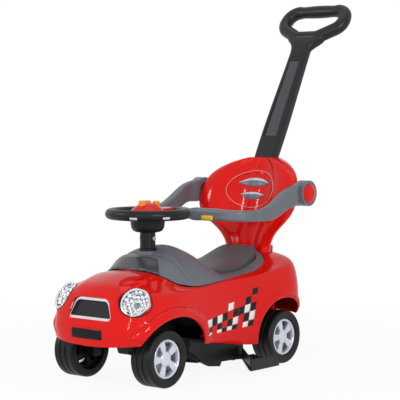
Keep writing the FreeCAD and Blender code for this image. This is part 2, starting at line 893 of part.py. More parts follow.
def build_steering_column():
    x = size.steering_x
    crank_x = x - size.crank_length
    rod = cut("steering_rod", fuse("rod_solid", [
        cylinder("rod_run", size.axle_radius, ROD_TOP_Z - ROD_BOTTOM_Z, x, 0, ROD_BOTTOM_Z),
        rounded_bar("rod_crank", (crank_x, x), Size(0, "0"), 7, size.link_z - 9, size.link_z - 1),
        cylinder("crank_pin", size.link_pin_radius, 10, crank_x, 0, size.link_z - 2),
    ]), [cylinder("rod_bolt_hole", BOLT_RADIUS, 40, x, -20, BOLT_Z, TO_LEFT)])
    sleeve = new_body("sleeve_tube")
    c = size.column_radius
    r = size.axle_radius
    revolve(sleeve, [[(r, SLEEVE_Z[0]), (c + 2, SLEEVE_Z[0]), (c + 2, SLEEVE_Z[0] + 5),
                      (c, SLEEVE_Z[0] + 7), (c, SLEEVE_Z[1]), (r, SLEEVE_Z[1])]])
    place(sleeve, x)
    sleeve_part = cut("steering_sleeve", sleeve,
                      [cylinder("sleeve_bolt_hole", BOLT_RADIUS, 60, x, -30, BOLT_Z, TO_LEFT)])
    head = size.column_radius + 3
    bolt = fuse("steering_bolt", [
        cylinder("bolt_shank", BOLT_RADIUS, head * 2, x, -head, BOLT_Z, TO_LEFT),
        cylinder("bolt_head", 5, 3, x, size.column_radius, BOLT_Z, TO_LEFT),
        cylinder("bolt_nut", 4.5, 3.5, x, -size.column_radius - 3.5, BOLT_Z, TO_LEFT),
    ])
    bush = new_body("steering_bush")
    g = r + size.running_gap
    revolve(bush, [[(g, 262), (12, 262), (12, 283), (g, 283)]])
    place(bush, x)
    return [rod, sleeve_part, bolt, bush]


def build_steering_wheel():
    x = size.steering_x
    rim_z = size.steering_rim_z
    bowl_r = size.steering_bowl_radius
    turning = new_body("steering_turning")
    revolve(turning, [Ring(size.steering_rim_radius, rim_z, size.steering_tube_radius)])
    bowl = new_body("steering_bowl")
    bore = size.axle_radius
    revolve(bowl, [[(bore, 326), (27, 326), (33, 329), (37, 335), (38.5, 343), (bowl_r, 352),
                    (bowl_r, rim_z), (bowl_r - 2.5, rim_z), (bowl_r - 2.5, 352), (36, 343.5),
                    (34.5, 336.5), (31.5, 332), (27, 331), (bore, 331)]])
    pieces = [place(turning, x), place(bowl, x)]
    reach = size.steering_rim_radius
    for side in (1, -1):
        spoke = new_body("side_spoke")
        near = bowl_r - 1
        pad(spoke, "XY_Plane", [[(-13, near), (13, near), (16, reach), (-16, reach)]], 9, rim_z - 9)
        pieces.append(place(spoke, x, 0, 0, Rotation(Vector(0, 0, 1), 0 if side > 0 else 180)))
    rear = new_body("rear_spoke")
    pad(rear, "XY_Plane", [[(-reach, -14), (-bowl_r + 1, -22), (-bowl_r + 1, 22), (-reach, 14)]], 9,
        rim_z - 9)
    pieces.append(place(rear, x))
    return fuse("steering_wheel", pieces)


HORN_BUTTON = (16, 0, 10)
SOUND_BUTTONS = ((-14, 13), (-14, -13))


COVER_SPHERE = 49.5
COVER_SPHERE_DROP = 24.5


def cover_cap(label, radius, low, sphere_radius):
    """A round-topped plug: a cylinder kept inside a sphere."""
    x = size.steering_x
    ball = doc.addObject("Part::Sphere", label + "_ball")
    bind(ball, "Radius", sphere_radius)
    place(ball, x, 0, low - COVER_SPHERE_DROP)
    return common(label, ball, cylinder(label + "_plug", radius, 40, x, 0, low))


def build_steering_cover():
    """The red dome with its rearward wing, and the three buttons that slide in it."""
    x = size.steering_x
    rim_z = size.steering_rim_z
    bowl_r = size.steering_bowl_radius
    dome = cut("cover_dome", cover_cap("cover_outer", bowl_r, rim_z, COVER_SPHERE),
               [cover_cap("cover_inner", bowl_r - 3, rim_z, COVER_SPHERE - 3)])
    wing = new_body("cover_wing")
    pad(wing, "XY_Plane", [[(-72, -15), (-36, -24), (-36, 24), (-72, 15), Through(-76, 0)]], 10.8,
        rim_z + 0.2)
    place(wing, x)
    gap = 0.35
    holes = [cylinder("horn_hole", HORN_BUTTON[2] + gap, 40, x + HORN_BUTTON[0], 0, rim_z + 2)]
    for dx, dy in SOUND_BUTTONS:
        holes.append(cylinder("sound_hole", 8 + gap, 40, x + dx, dy, rim_z + 2))
    rim = doc.addObject("Part::Torus", "rim_clearance")
    bind(rim, "Radius1", size.steering_rim_radius)
    bind(rim, "Radius2", size.steering_tube_radius + 0.3)
    place(rim, x, 0, rim_z)
    cover = cut("steering_cover", fuse("cover_solid", [dome, wing]), holes + [rim])
    parts = [cover]
    horn = new_body("horn_button")
    r = HORN_BUTTON[2]
    revolve(horn, [[(0, 0), (r, 0), (r, 19), (r - 1, 20.5), (r - 4, 21.6), (0, 22)]])
    parts.append(place(horn, x + HORN_BUTTON[0], 0, rim_z + 9))
    for name, (dx, dy) in zip(("left", "right"), SOUND_BUTTONS):
        button = new_body("sound_button_" + name)
        revolve(button, [[(0, 0), (8, 0), (8, 19), (7, 20.3), (4.5, 21.2), (0, 21.5)]])
        parts.append(place(button, x + dx, dy, rim_z + 8))
    return parts


def build_horn_works():
    """What the bowl holds: a speaker, a round board and two button cells."""
    x = size.steering_x
    speaker = new_body("horn_speaker")
    revolve(speaker, [[(0, 331), (9, 331), (9, 335), (24, 345), (24, 347), (0, 343)]])
    board = fuse("horn_board", [cylinder("board_disc", 30, 1.6, x, 0, 352),
                                cylinder("board_post", 3, 10, x, 0, 342.5)])
    cells = fuse("horn_batteries", [cylinder("cell", 6, 5.4, x + offset, -14, 353.6)
                                    for offset in (-14, 14)])
    return [place(speaker, x), board, cells]


# Black chassis

SKIRT_OUTLINE = [(247, 70), (203, 33), (180, 23), (140, 18), (134, 28), (60, 26), (54, 40), (54, 90),
                 (247, 90)]
RAIL_X = (62, 80)
VALANCE_X = 427
VALANCE_OUTLINE = [(62, 99), (69, 81), (72, 79), (98, 79), (98, 99)]


def build_chassis():
    floor = size.chassis_floor_z
    wall = size.chassis_wall
    top = size.rear_top_z
    nose = size.nose_half_width
    pan_w = size.pan_half_width
    rear_w = size.rear_half_width
    x = size.front_axle_x
    y = size.kingpin_y
    low_nose = size.nose_floor_z
    plan = new_body("chassis_floor")
    pad(plan, "XY_Plane", [[(54, -pan_w), (222, -pan_w), (240, -nose), (246, -18), (268, -18),
                            (268, 18), (246, 18), (240, nose), (222, pan_w), (54, pan_w)]], wall)
    nose_plan = new_body("nose_floor")
    pad(nose_plan, "XY_Plane", [[(222, -nose), (405, -nose), (420, -nose + 8), (420, nose - 8),
                                 (405, nose), (222, nose)]], wall)
    pieces = [place(plan, 0, 0, floor), place(nose_plan, 0, 0, low_nose)]
    for side in (1, -1):
        skirt = new_body("skirt")
        pad(skirt, "XZ_Plane", [SKIRT_OUTLINE], 5, -pan_w if side > 0 else pan_w - 5)
        pieces.append(skirt)
        valance = new_body("valance")
        pad(valance, "YZ_Plane", [[(side * y, z) for y, z in VALANCE_OUTLINE]], 3, VALANCE_X)
        pieces.append(valance)

        def span(low, high):
            return (low, high) if side > 0 else (-high, -low)

        pieces.append(box("valance_shelf", (VALANCE_X - 10, VALANCE_X + 3), span(nose - 10, 98),
                          (low_nose, low_nose + wall)))
        pieces.append(box("nose_post", (219, 243), span(nose - wall, nose), (floor, low_nose + wall)))
        pieces.append(box("nose_side", (270, 416), span(nose - wall, nose), (low_nose, size.nose_top_z)))
        pieces.append(box("pan_front_wall", (219, 222), span(nose, pan_w), (floor, size.skirt_top_z)))
        pieces.append(box("kingpin_web", (x - 12, x + 12), span(nose - wall, y - 2),
                          (low_nose, KINGPIN_BOSS_Z[1])))
        pieces.append(cylinder("kingpin_boss", KINGPIN_BOSS_RADIUS, KINGPIN_BOSS_Z[1] - KINGPIN_BOSS_Z[0],
                               x, y * side, KINGPIN_BOSS_Z[0]))
        pieces.append(box("rear_wall_side", (-158, 57), span(rear_w - wall, rear_w), (48, top)))
        pieces.append(cylinder("axle_boss", 9, 20, size.rear_axle_x, 66 if side > 0 else -86,
                               size.wheel_radius, TO_LEFT))
        for low, high in ((57, RAIL_X[0] - 0.4), (RAIL_X[1] + 0.4, 85)):
            pieces.append(box("rail", (low, high), span(62, 112), (24, floor)))
        for low, high in ((57, 67), (75, 85)):
            pieces.append(box("rail_lip", (low, high), span(62, 112), (24, 27.6)))
        for rib_x in (112, 165):
            pieces.append(box("pan_rib", (rib_x, rib_x + 3), span(60, pan_w - 3), (floor, 60)))
    pieces += [
        box("nose_front", (413, 416), (-nose, nose), (low_nose, 130)),
        box("rear_deck", (-158, 57), (-rear_w, rear_w), (top - wall, top)),
        box("rear_wall", (-158, -155), (-rear_w, rear_w), (48, top)),
        box("step_wall", (54, 57), (-pan_w, pan_w), (floor, top - 5)),
        box("step_top", (54, 57), (-rear_w, rear_w), (floor, top)),
        box("socket_tower", (TONGUE_X[0] - 6, TONGUE_X[1] + 6),
            (-TONGUE_HALF_WIDTH - 6, TONGUE_HALF_WIDTH + 6), (top - 3, 215)),
        cylinder("rod_boss", 12, 24, size.steering_x, 0, floor),
    ]
    gap = size.running_gap
    tools = [
        box("socket", TONGUE_X, (-TONGUE_HALF_WIDTH, TONGUE_HALF_WIDTH), (120, 220)),
        cylinder("rod_bearing", size.axle_radius + gap, 30, size.steering_x, 0, 43),
        cylinder("rod_passage", size.axle_radius + 3, 20, size.steering_x, 0, low_nose - 10),
        cylinder("rear_axle_bore", size.axle_radius, 200, size.rear_axle_x, -100, size.wheel_radius,
                 TO_LEFT),
    ]
    for side in (1, -1):
        tools.append(cylinder("kingpin_bore", size.axle_radius + gap, 60, x, y * side,
                              KINGPIN_BOSS_Z[0] - 2))
        slot = (100, 120) if side > 0 else (-120, -100)
        tools.append(box("tongue_gate", (RAIL_X[0] - 0.4, RAIL_X[1] + 0.4), slot, (27.6, floor - 0.4)))
    tools += screw_bores("floor_screw_bore", SCREW_RADIUS)
    return cut("chassis_pan", fuse("chassis_solid", pieces), tools)


def build_chassis_screws():
    screws = []
    for x, y, base in FLOOR_SCREWS:
        for side in (1, -1):
            screws.append(cylinder("screw_shank", SCREW_RADIUS, 24, x, side * y, base - 1))
            screws.append(cylinder("screw_head", 5.5, 3, x, side * y, base - 3))
    return fuse("chassis_screws", screws)


# Grey cockpit trim, seat lid and storage tub

CREST = [(-112, 266), (-97, 262), (-50, 246), (0, 230), (60, 222), (92, 222), (106, 228), (118, 242),
         (130, 254), (154, 275), (178, 287), (205, 294), (238, 291), (258, 282), (272, 277),
         (284, 273), (300, 259), (315, 244), (335, 226)]
BELT_HEIGHT = [(-112, 240), (-74, 238), (-45, 230), (0, 224), (58, 221), (122, 215), (180, 209),
               (222, 207), (252, 209), (279, 214), (295, 222), (330, 226)]
BELT_HALF = [(-112, 84), (-76, 86), (-45, 97), (0, 109), (58, 117), (122, 121), (180, 123), (222, 122),
             (252, 119), (279, 112), (295, 104), (330, 100)]
COWL_SWEEP = 0.0021
CHANNEL_DEPTH = 4
SEAT_HOLE = [(112, 66, 30), (36, 81, 230), (-90, 60, 44)]
SEAT_TOP = [(-100, 276), (-88, 273), (-50, 257), (0, 241), (60, 233), (118, 232)]


def trim_height(x, y):
    """Height of the trim's upper skin: dash hump, cowl and seat surround."""
    share = min(abs(y) / along(BELT_HALF, x), 1.2)
    sweep = COWL_SWEEP * smoothstep(200, 290, x)
    edge = along(BELT_HEIGHT, x)
    crest = along(CREST, x + sweep * y * y)
    channel = CHANNEL_DEPTH * math.exp(-((x - 268 + 0.0022 * y * y) / 4.5) ** 2)
    fullness = 2.2 + 1.8 * smoothstep(225, 268, x) + 1.0 * (1 - smoothstep(100, 125, x))
    return edge + (crest - edge) * (1 - share ** fullness) - channel * (1 - share ** 6)


def height_slab(height, xs, ys, thickness):
    top = [[Vector(x, y, height(x, y)) for y in ys] for x in xs]
    bottom = [[Vector(x, y, height(x, y) - thickness) for y in ys] for x in xs]
    return slab(top, bottom, xs, ys)


def seat_outline(inset):
    """Rounded plan outline of the seat opening."""
    right = [Vector(x - inset if x > 0 else x + inset, y - inset, 0) for x, y, r in SEAT_HOLE]
    right[1].x = SEAT_HOLE[1][0]
    left = [Vector(p.x, -p.y, 0) for p in reversed(right)]
    radii = [r for x, y, r in SEAT_HOLE]
    return rounded_wire(right + left, radii + radii[::-1])


def seat_prism(inset, low, high):
    outline = seat_outline(inset)
    outline.translate(Vector(0, 0, low))
    return Part.Face(outline).extrude(Vector(0, 0, high - low))


def belt_outline(inset):
    """The belt line in plan, moved inwards."""
    half = []
    for i, point in enumerate(BELT):
        before = BELT[max(i - 1, 0)]
        after = BELT[min(i + 1, len(BELT) - 1)]
        run = Vector(after.x - before.x, after.y - before.y, 0)
        inward = Vector(-run.y, run.x, 0).normalize()
        half.append(Vector(point.x + inward.x * inset, point.y + inward.y * inset, 0))
    half[0].y = 0
    half[-1].y = 0
    return both_sides(half[::2])


TRIM_THICKNESS = 4
TRIM_LAP_THICKNESS = 1.2
TRIM_LAP = 5
TRIM_GAP = 1.5
COLUMN_SEAT_Z = 283.4
LUG_Y = (24, 31)


def trim_underside(x, y):
    """Underside of the thin lap along the belt line."""
    return trim_height(x, y) - TRIM_LAP_THICKNESS


def build_cockpit_trim():
    xs = spread(-112, 240, 45) + spread(243, 291, 17) + spread(296, 332, 8)
    ys = spread(-126, 126, 37)
    sheet_part = height_slab(trim_height, xs, ys, TRIM_THICKNESS)
    sheet_part = sheet_part.common(prism(belt_outline(TRIM_GAP), 150, 350))
    under_edge = height_slab(trim_underside, xs, ys, TRIM_THICKNESS)
    under_edge = under_edge.cut(prism(belt_outline(TRIM_LAP), 150, 350))
    pieces = [freeform("trim_skin", sheet_part.cut(under_edge).cut(seat_prism(0, 150, 350)))]
    floor_top = size.chassis_floor_z + size.chassis_wall
    for x, y in TRIM_POSTS:
        top = trim_height(x, y) - 2
        for side in (1, -1):
            pieces.append(cylinder("trim_post", 6, Size(top, repr(top)) - floor_top, x, side * y,
                                   floor_top))
    for side in (1, -1):
        lug = LUG_Y if side > 0 else (-LUG_Y[1], -LUG_Y[0])
        pieces.append(box("hinge_lug", (size.hinge_x - 13, size.hinge_x + 4), lug,
                          (size.hinge_z - 14, size.hinge_z + 4)))
    pieces.append(cylinder("column_seat", size.column_radius + 3, 20, size.steering_x, 0,
                           COLUMN_SEAT_Z - 20))
    tools = screw_bores("trim_screw_bore", SCREW_RADIUS)
    tools.append(cylinder("bush_hole", 12, 60, size.steering_x, 0, 250))
    tools.append(cylinder("column_recess", size.column_radius + 3, 40, size.steering_x, 0, COLUMN_SEAT_Z))
    tools.append(cylinder("hinge_hole", size.hinge_pin_radius, 140, size.hinge_x, -70, size.hinge_z,
                          TO_LEFT))
    return cut("cockpit_trim", fuse("trim_solid", pieces), tools)


def seat_height(x, y):
    edge = min(abs(y) / 80.0, 1.1)
    return along(SEAT_TOP, x) + 3 - 9 * edge ** 4


def build_seat():
    xs = spread(-100, 120, 34)
    ys = spread(-88, 88, 25)
    lid_pad = height_slab(seat_height, xs, ys, number(size.seat_thickness))
    lid_pad = lid_pad.common(seat_prism(1.2, 150, 350))
    inner = LUG_Y[0] - 0.6
    barrel = cylinder("lid_barrel", 6.5, 2 * inner, size.hinge_x, -inner, size.hinge_z, TO_LEFT)
    tools = [cylinder("lid_bore", size.hinge_pin_radius + size.running_gap, 140, size.hinge_x, -70,
                      size.hinge_z, TO_LEFT)]
    for side in (1, -1):
        low, high = LUG_Y[0] - 0.8, LUG_Y[1] + 0.8
        notch = (low, high) if side > 0 else (-high, -low)
        tools.append(box("lug_notch", (-110, size.hinge_x + 6.5), notch, (200, 320)))
    tools.append(box("lid_tail", (-130, size.hinge_x - 5), (-90, 90), (200, 320)))
    cushion = cut("lid_cushion", freeform("lid_pad", lid_pad), tools[1:])
    lid = cut("seat_lid", fuse("lid_solid", [cushion, barrel]), tools[:1])
    pin = cylinder("seat_hinge_pin", size.hinge_pin_radius, LUG_Y[1] * 2, size.hinge_x, -LUG_Y[1],
                   size.hinge_z, TO_LEFT)
    w = size.tub_half_width
    base = size.rear_top_z
    tub = cut("storage_tub", box("tub_block", (-80, 104), (-w, w), (base, size.tub_top_z)),
              [box("tub_hollow", (-77.5, 101.5), (-w + 2.5, w - 2.5), (base + 2.5, 260))])
    return [lid, pin, tub]


# Backrest, vents, push handle

# Level and half-width.
BACKREST_LEVELS = [
    (267.5, 64), (285, 70), (305, 85), (325, 108), (345, 130), (363, 142), (385, 145), (405, 144),
    (428, 137), (448, 123), (466, 97), (479, 64), (485, 40),
]
BACKREST_FOOT_Z = BACKREST_LEVELS[0][0]
BACKREST_RISE = BACKREST_LEVELS[-1][0] - BACKREST_FOOT_Z
CAVITY_Z = (272, 479)
BACKREST_WALL = 4
WRAP = 40


def backrest_section(level, inset):
    """Half outline at one level; both faces sweep back as they rise."""
    z, half = level
    share = (z - BACKREST_FOOT_Z) / BACKREST_RISE
    front = -112 - 58 * share ** 2.4 - inset
    rear = -150 - 59 * share ** 1.6 + inset
    half -= inset
    wrap = WRAP * (half / 140.0)
    rim = (front + rear) / 2 + wrap
    side = [
        Vector(front, 0, z), Vector(front + 0.16 * wrap, 0.42 * half, z),
        Vector(front + 0.62 * wrap, 0.80 * half, z), Vector(rim, half, z),
        Vector(rear + 0.75 * wrap, 0.80 * half, z), Vector(rear + 0.2 * wrap, 0.42 * half, z),
        Vector(rear, 0, z),
    ]
    return half_ring(side, 25)


def backrest_form(inset, low, high):
    """The backrest's form, moved inwards and fitted between two heights."""
    grid = [backrest_section(level, inset) for level in BACKREST_LEVELS]
    heights = [low + (high - low) * (level[0] - BACKREST_FOOT_Z) / BACKREST_RISE
               for level in BACKREST_LEVELS]
    for line, z in zip(grid, heights):
        for point in line:
            point.z = z
    return stacked_solid(grid, heights)


STEM_LEAN = math.radians(28.6)
STEM_AXIS = Vector(-math.sin(STEM_LEAN), 0, math.cos(STEM_LEAN))
STEM_FOOT = Vector(-163.3, 0, 435.5)
STEM_FRONT = Vector(math.cos(STEM_LEAN), 0, math.sin(STEM_LEAN))
SIDEWAYS = Vector(0, 1, 0)
LOOP_LEAN = math.radians(39.7)
LOOP_AXIS = Vector(-math.sin(LOOP_LEAN), 0, math.cos(LOOP_LEAN))


def stem_form(margin):
    """The tapering stem, grown by a margin."""
    stages = ((0.0, 62, 18), (0.25, 62, 27), (0.7, 56, 26), (1.0, 52, 24))
    wires = []
    for share, width, depth in stages:
        centre = STEM_FOOT + STEM_AXIS * (number(size.stem_length) * share)
        wires.append(rounded_rectangle(centre, SIDEWAYS, STEM_FRONT, width + 2 * margin,
                                       depth + 2 * margin, 8))
    return Part.makeLoft(wires, True, False)


def front_layer(form, shallow, deep):
    """The part of a form between two depths behind its front face."""
    outer = form.copy()
    outer.translate(Vector(-shallow, 0, 0))
    inner = form.copy()
    inner.translate(Vector(-deep, 0, 0))
    return outer.cut(inner)


def oval_prism(z, width, height):
    ellipse = Part.Ellipse(Vector(-80, 0, z), width / 2, height / 2)
    ellipse.Axis = Vector(1, 0, 0)
    ellipse.XAxis = Vector(0, 1, 0)
    return Part.Face(Part.Wire([ellipse.toShape()])).extrude(Vector(-75, 0, 0))


def lens_prism(z, width, height, bow):
    """A lens outline with a flatter lower edge, run back through the backrest's front."""
    left = Vector(-80, -width / 2, z)
    right = Vector(-80, width / 2, z)
    upper = Part.Arc(left, Vector(-80, 0, z + height * bow), right).toShape()
    lower = Part.Arc(right, Vector(-80, 0, z - height * (1 - bow)), left).toShape()
    return Part.Face(Part.Wire([upper, lower])).extrude(Vector(-75, 0, 0))


def guard_post():
    """Pivot post with a flange, along +Y."""
    x = number(size.guard_pivot_x)
    z = number(size.guard_pivot_z)
    post = Part.makeCylinder(number(size.guard_post_radius), 36, Vector(x, 122, z), SIDEWAYS)
    flange = Part.makeCylinder(18, 10, Vector(x, 136.5, z), SIDEWAYS)
    return post.fuse(flange)


SCREW_STATIONS = (12, 34)
FOOT_DEPTH = 19


def handle_screw(station):
    """A screw through the back of the backrest into the stem."""
    start = STEM_FOOT + STEM_AXIS * station - STEM_FRONT * 22
    shank = Part.makeCylinder(2.5, 22, start, STEM_FRONT)
    return shank


def backrest_foot():
    """A skirt under the backrest that follows the rear deck."""
    outline = smooth_loop(both_sides(backrest_section(BACKREST_LEVELS[0], 0.6)))
    outline.translate(Vector(0, 0, 3))
    skirt = Part.Face(outline).extrude(Vector(0, 0, -FOOT_DEPTH))
    deck = body_shell_solid()
    deck.translate(Vector(0, 0, 0.3))
    return max(skirt.cut(deck).Solids, key=lambda solid: solid.BoundBox.ZMax)


def build_backrest():
    outer = backrest_form(0, BACKREST_FOOT_Z, BACKREST_FOOT_Z + BACKREST_RISE)
    cavity = backrest_form(BACKREST_WALL, *CAVITY_Z)
    socket = stem_form(BACKREST_WALL)
    socket = socket.fuse(Part.makeBox(90, 80, 38, Vector(-220, -40, 404)))
    cavity = cavity.cut(socket)
    recess = oval_prism(408, 138, 85).common(front_layer(outer, 0, 2.5))
    vents = []
    for z, width, height, bow in ((422, 92, 22, 0.62), (394, 72, 19, 0.38)):
        vents.append(lens_prism(z, width, height, bow).common(front_layer(outer, 1.5, 6)))
    shape = outer.cut(cavity).cut(recess)
    for vent in vents:
        shape = shape.cut(vent)
    shape = shape.cut(stem_form(0))
    for side in (1, -1):
        post = guard_post()
        if side < 0:
            post = post.mirror(Vector(0, 0, 0), SIDEWAYS)
        shape = shape.cut(post)
    tongue = Part.makeBox(TONGUE_X[1] - TONGUE_X[0], 2 * TONGUE_HALF_WIDTH, 152,
                          Vector(TONGUE_X[0], -TONGUE_HALF_WIDTH, 120))
    hollow = Part.makeBox(TONGUE_X[1] - TONGUE_X[0] - 8, 2 * TONGUE_HALF_WIDTH - 8, 138,
                          Vector(TONGUE_X[0] + 4, -TONGUE_HALF_WIDTH + 4, 116))
    shape = shape.fuse([tongue, backrest_foot()]).cut(hollow)
    screws = handle_screw(SCREW_STATIONS[0]).fuse(handle_screw(SCREW_STATIONS[1]))
    shape = shape.cut(screws)
    vent_part = freeform("backrest_vents", Part.makeCompound([s for vent in vents for s in vent.Solids]))
    parts = [freeform("backrest", shape), vent_part, freeform("handle_screws", screws)]
    left = freeform("guard_pivot_left", guard_post())
    return parts + [left, mirrored("guard_pivot_right", left)]


def loop_point(across, up):
    yoke = STEM_FOOT + STEM_AXIS * number(size.stem_length)
    return yoke + SIDEWAYS * across + LOOP_AXIS * up


LOOP_CORNERS = [(84, 122.8), (93, 70), (30, 34), (-30, 34), (-93, 70), (-84, 122.8)]
LOOP_RADII = [30, 32, 36, 36, 32, 30]
GRIP_HALF_LENGTH = 62
GRIP_RADII = (12.5, 14.5)
YOKE_STAGES = ((-34, 44, 14), (-12, 54, 20), (6, 70, 24), (20, 98, 24), (32, 112, 20))


def build_push_handle():
    """Stem, flared yoke, a thick loop swept round a rounded outline and a barrel grip across it."""
    corners = [loop_point(a, b) for a, b in LOOP_CORNERS]
    edges = rounded_wire(corners, LOOP_RADII).Edges
    top = max(range(len(edges)), key=lambda i: edges[i].CenterOfMass.z)
    run = edges[top + 1:] + edges[:top]
    start = run[0].valueAt(run[0].FirstParameter)
    radius = number(size.grip_tube_radius)
    section = Part.Wire([Part.Circle(start, run[0].tangentAt(run[0].FirstParameter), radius).toShape()])
    tube = Part.Wire(run).makePipeShell([section], True, False)
    half = GRIP_HALF_LENGTH
    up = LOOP_CORNERS[-1][1]
    profile = [loop_point(-half, up), loop_point(-half, up + GRIP_RADII[0])]
    bulge = Part.Arc(profile[1], loop_point(0, up + GRIP_RADII[1]),
                     loop_point(half, up + GRIP_RADII[0])).toShape()
    ends = [Part.LineSegment(*profile).toShape(),
            Part.LineSegment(loop_point(half, up + GRIP_RADII[0]), loop_point(half, up)).toShape(),
            Part.LineSegment(loop_point(half, up), profile[0]).toShape()]
    grip = Part.Face(Part.Wire([ends[0], bulge] + ends[1:])).revolve(profile[0], SIDEWAYS, 360)
    knobs = [Part.makeSphere(radius, loop_point(side * abs(run[0].valueAt(run[0].FirstParameter).y), up))
             for side in (1, -1)]
    yoke_front = Vector(LOOP_AXIS.z, 0, -LOOP_AXIS.x)
    yoke = Part.makeLoft([
        rounded_rectangle(loop_point(0, rise), SIDEWAYS, yoke_front, width, depth, 8)
        for rise, width, depth in YOKE_STAGES], True, False)
    shape = stem_form(0).fuse([tube, grip, yoke] + knobs)
    panel_centre = STEM_FOOT + STEM_AXIS * 207 + STEM_FRONT * 13
    panel = Part.makeLoft([
        rounded_rectangle(panel_centre - STEM_AXIS * 100, SIDEWAYS, STEM_FRONT, 40, 4, 1.5),
        rounded_rectangle(panel_centre + STEM_AXIS * 120, SIDEWAYS, STEM_FRONT, 30, 4, 1.5),
    ], True, False)
    shape = shape.cut(panel).cut(handle_screw(SCREW_STATIONS[0])).cut(handle_screw(SCREW_STATIONS[1]))
    return freeform("push_handle", shape)


# Swing-up guard

# Centre line of the left arm: x, y, z, thickness, height.
GUARD_PATH = [
    (-118, 161, 403, 20, 54), (-85, 160, 399, 20, 50), (-50, 158.5, 389, 21, 47), (-13, 157, 371, 22, 42),
    (18, 156, 361, 22, 33), (50, 155, 358, 22, 27),
]
GUARD_CORNER = (66, 102, 54)
GUARD_BAR_X = 120


def guard_sections(end_y):
    """Rounded sections square to the arm's centre line."""
    stations = list(GUARD_PATH)
    cx, cy, r = GUARD_CORNER
    for degrees in (6, 22, 38, 54, 70, 86):
        turn = math.radians(degrees)
        stations.append((cx + r * math.sin(turn), cy + r * math.cos(turn), 358 + degrees * 0.033, 22, 26))
    for y in spread(84, end_y, 5):
        stations.append((GUARD_BAR_X, y, 361, 22, 28))
    wires = []
    for i, (x, y, z, thick, high) in enumerate(stations):
        before = stations[max(i - 1, 0)]
        after = stations[min(i + 1, len(stations) - 1)]
        ahead = Vector(after[0] - before[0], after[1] - before[1], 0).normalize()
        if i == len(stations) - 1:
            ahead = Vector(0, -1, 0)
        across = Vector(-ahead.y, ahead.x, 0)
        wires.append(rounded_rectangle(Vector(x, y, z), across, Vector(0, 0, 1), thick, high, 7))
    return wires


LATCH = (54, 88, 349, 360)


def guard_arm_solid(end_y):
    x = number(size.guard_pivot_x)
    z = number(size.guard_pivot_z)
    inner = number(size.guard_boss_inner_y)
    outer = number(size.guard_boss_outer_y)
    arm = Part.makeLoft(guard_sections(end_y), True, False)
    boss = Part.makeCylinder(number(size.guard_boss_radius), outer - inner, Vector(x, inner, z), SIDEWAYS)
    shape = arm.fuse(boss)
    bore = number(size.guard_post_radius + size.running_gap)
    shape = shape.cut(Part.makeCylinder(bore, 13, Vector(x, inner - 0.5, z), SIDEWAYS))
    recess = number(size.guard_button_radius) + 0.4
    return shape.cut(Part.makeCylinder(recess, 20, Vector(x, outer - 10.5, z), SIDEWAYS))


def build_guard():
    joint = number(size.guard_joint_y)
    latch_low, latch_high, latch_bottom, latch_top = LATCH
    left_solid = guard_arm_solid(joint + 0.3)
    pocket_box = Part.makeBox(12, latch_high - latch_low, latch_top - latch_bottom,
                              Vector(GUARD_BAR_X + 2, latch_low, latch_bottom))
    left = freeform("guard_arm_left", left_solid.cut(pocket_box))
    right_half = freeform("guard_arm_right_source", guard_arm_solid(-joint + 0.3))
    right = mirrored("guard_arm_right", right_half)
    button = new_body("guard_button_left")
    r = size.guard_button_radius
    revolve(button, [[(0, 0), (r, 0), (r, 8), Through(r - 5, 11), (1.5, 12.5), (0, 12.5)]])
    place(button, size.guard_pivot_x, size.guard_boss_outer_y - 6.5, size.guard_pivot_z, TO_LEFT)
    latch = box("guard_latch", (GUARD_BAR_X + 5.5, GUARD_BAR_X + 13.5),
                (latch_low + 0.4, latch_high - 0.4), (latch_bottom + 0.4, latch_top - 0.4))
    return [left, right, button, mirrored("guard_button_right", button), latch]


# Footrests

# The strap's root slides out under the sill, whose lower edge is at 60.
STRAP_ROOT_TOP = 55


def strap_end(inner, outer, low, high):
    """An upright four-sided end of the strap, over two points of the plan."""
    corners = [Vector(*inner, low), Vector(*outer, low), Vector(*outer, high), Vector(*inner, high)]
    return Part.makePolygon(corners + corners[:1])


def build_footrests():
    outer = size.footrest_outer_y
    front = size.footrest_front_x
    rear = size.footrest_rear_x
    low = size.footrest_floor_z
    plan = new_body("footrest_plan")
    pad(plan, "XY_Plane", [[(20, 121), (66, 121), (72, 126), (front, outer - 8), (front, outer),
                            (rear, outer), (rear, outer - 10)]], 60)
    slope = new_body("footrest_slope")
    pad(slope, "YZ_Plane", [[(110, 31), (outer, low), (outer, low + 4), (110, 35)]], 140)
    floor = common("footrest_floor", plan, slope)
    lip = new_body("footrest_lip")
    top = size.footrest_lip_top_z
    pad(lip, "XZ_Plane", [[(rear, low), (front, low), (front, top), (rear + 24, top),
                           Through(rear + 7, top - 7), (rear, low + 6)]], 4, -outer)
    strap = Part.makeLoft([strap_end((64, 121), (72, 126), 27, STRAP_ROOT_TOP),
                           strap_end((114, 190), (120, 190), 13, 38)], True, True)
    tongue = box("footrest_tongue", RAIL_X, (60, 138), (28, 34))
    left = fuse("footrest_left", [floor, lip, freeform("footrest_strap", strap), tongue])
    return [left, mirrored("footrest_right", left)]


SUBPARTS = [build_body_shell(), build_chassis(), build_chassis_screws(), build_cockpit_trim(),
            build_steering_wheel(), build_tie_plate(), build_push_handle()]
for group in (build_grille(), build_headlights(), build_wheels(), build_axles(), build_knuckles(),
              build_steering_column(), build_steering_cover(), build_horn_works(), build_seat(),
              build_backrest(), build_guard(), build_footrests()):
    SUBPARTS += group

doc.recompute()

# Every feature and every piece is checked before it is written.
for item in doc.Objects:
    if "Invalid" in item.State or "Error" in item.State:
        raise RuntimeError("%s did not build" % item.Label)

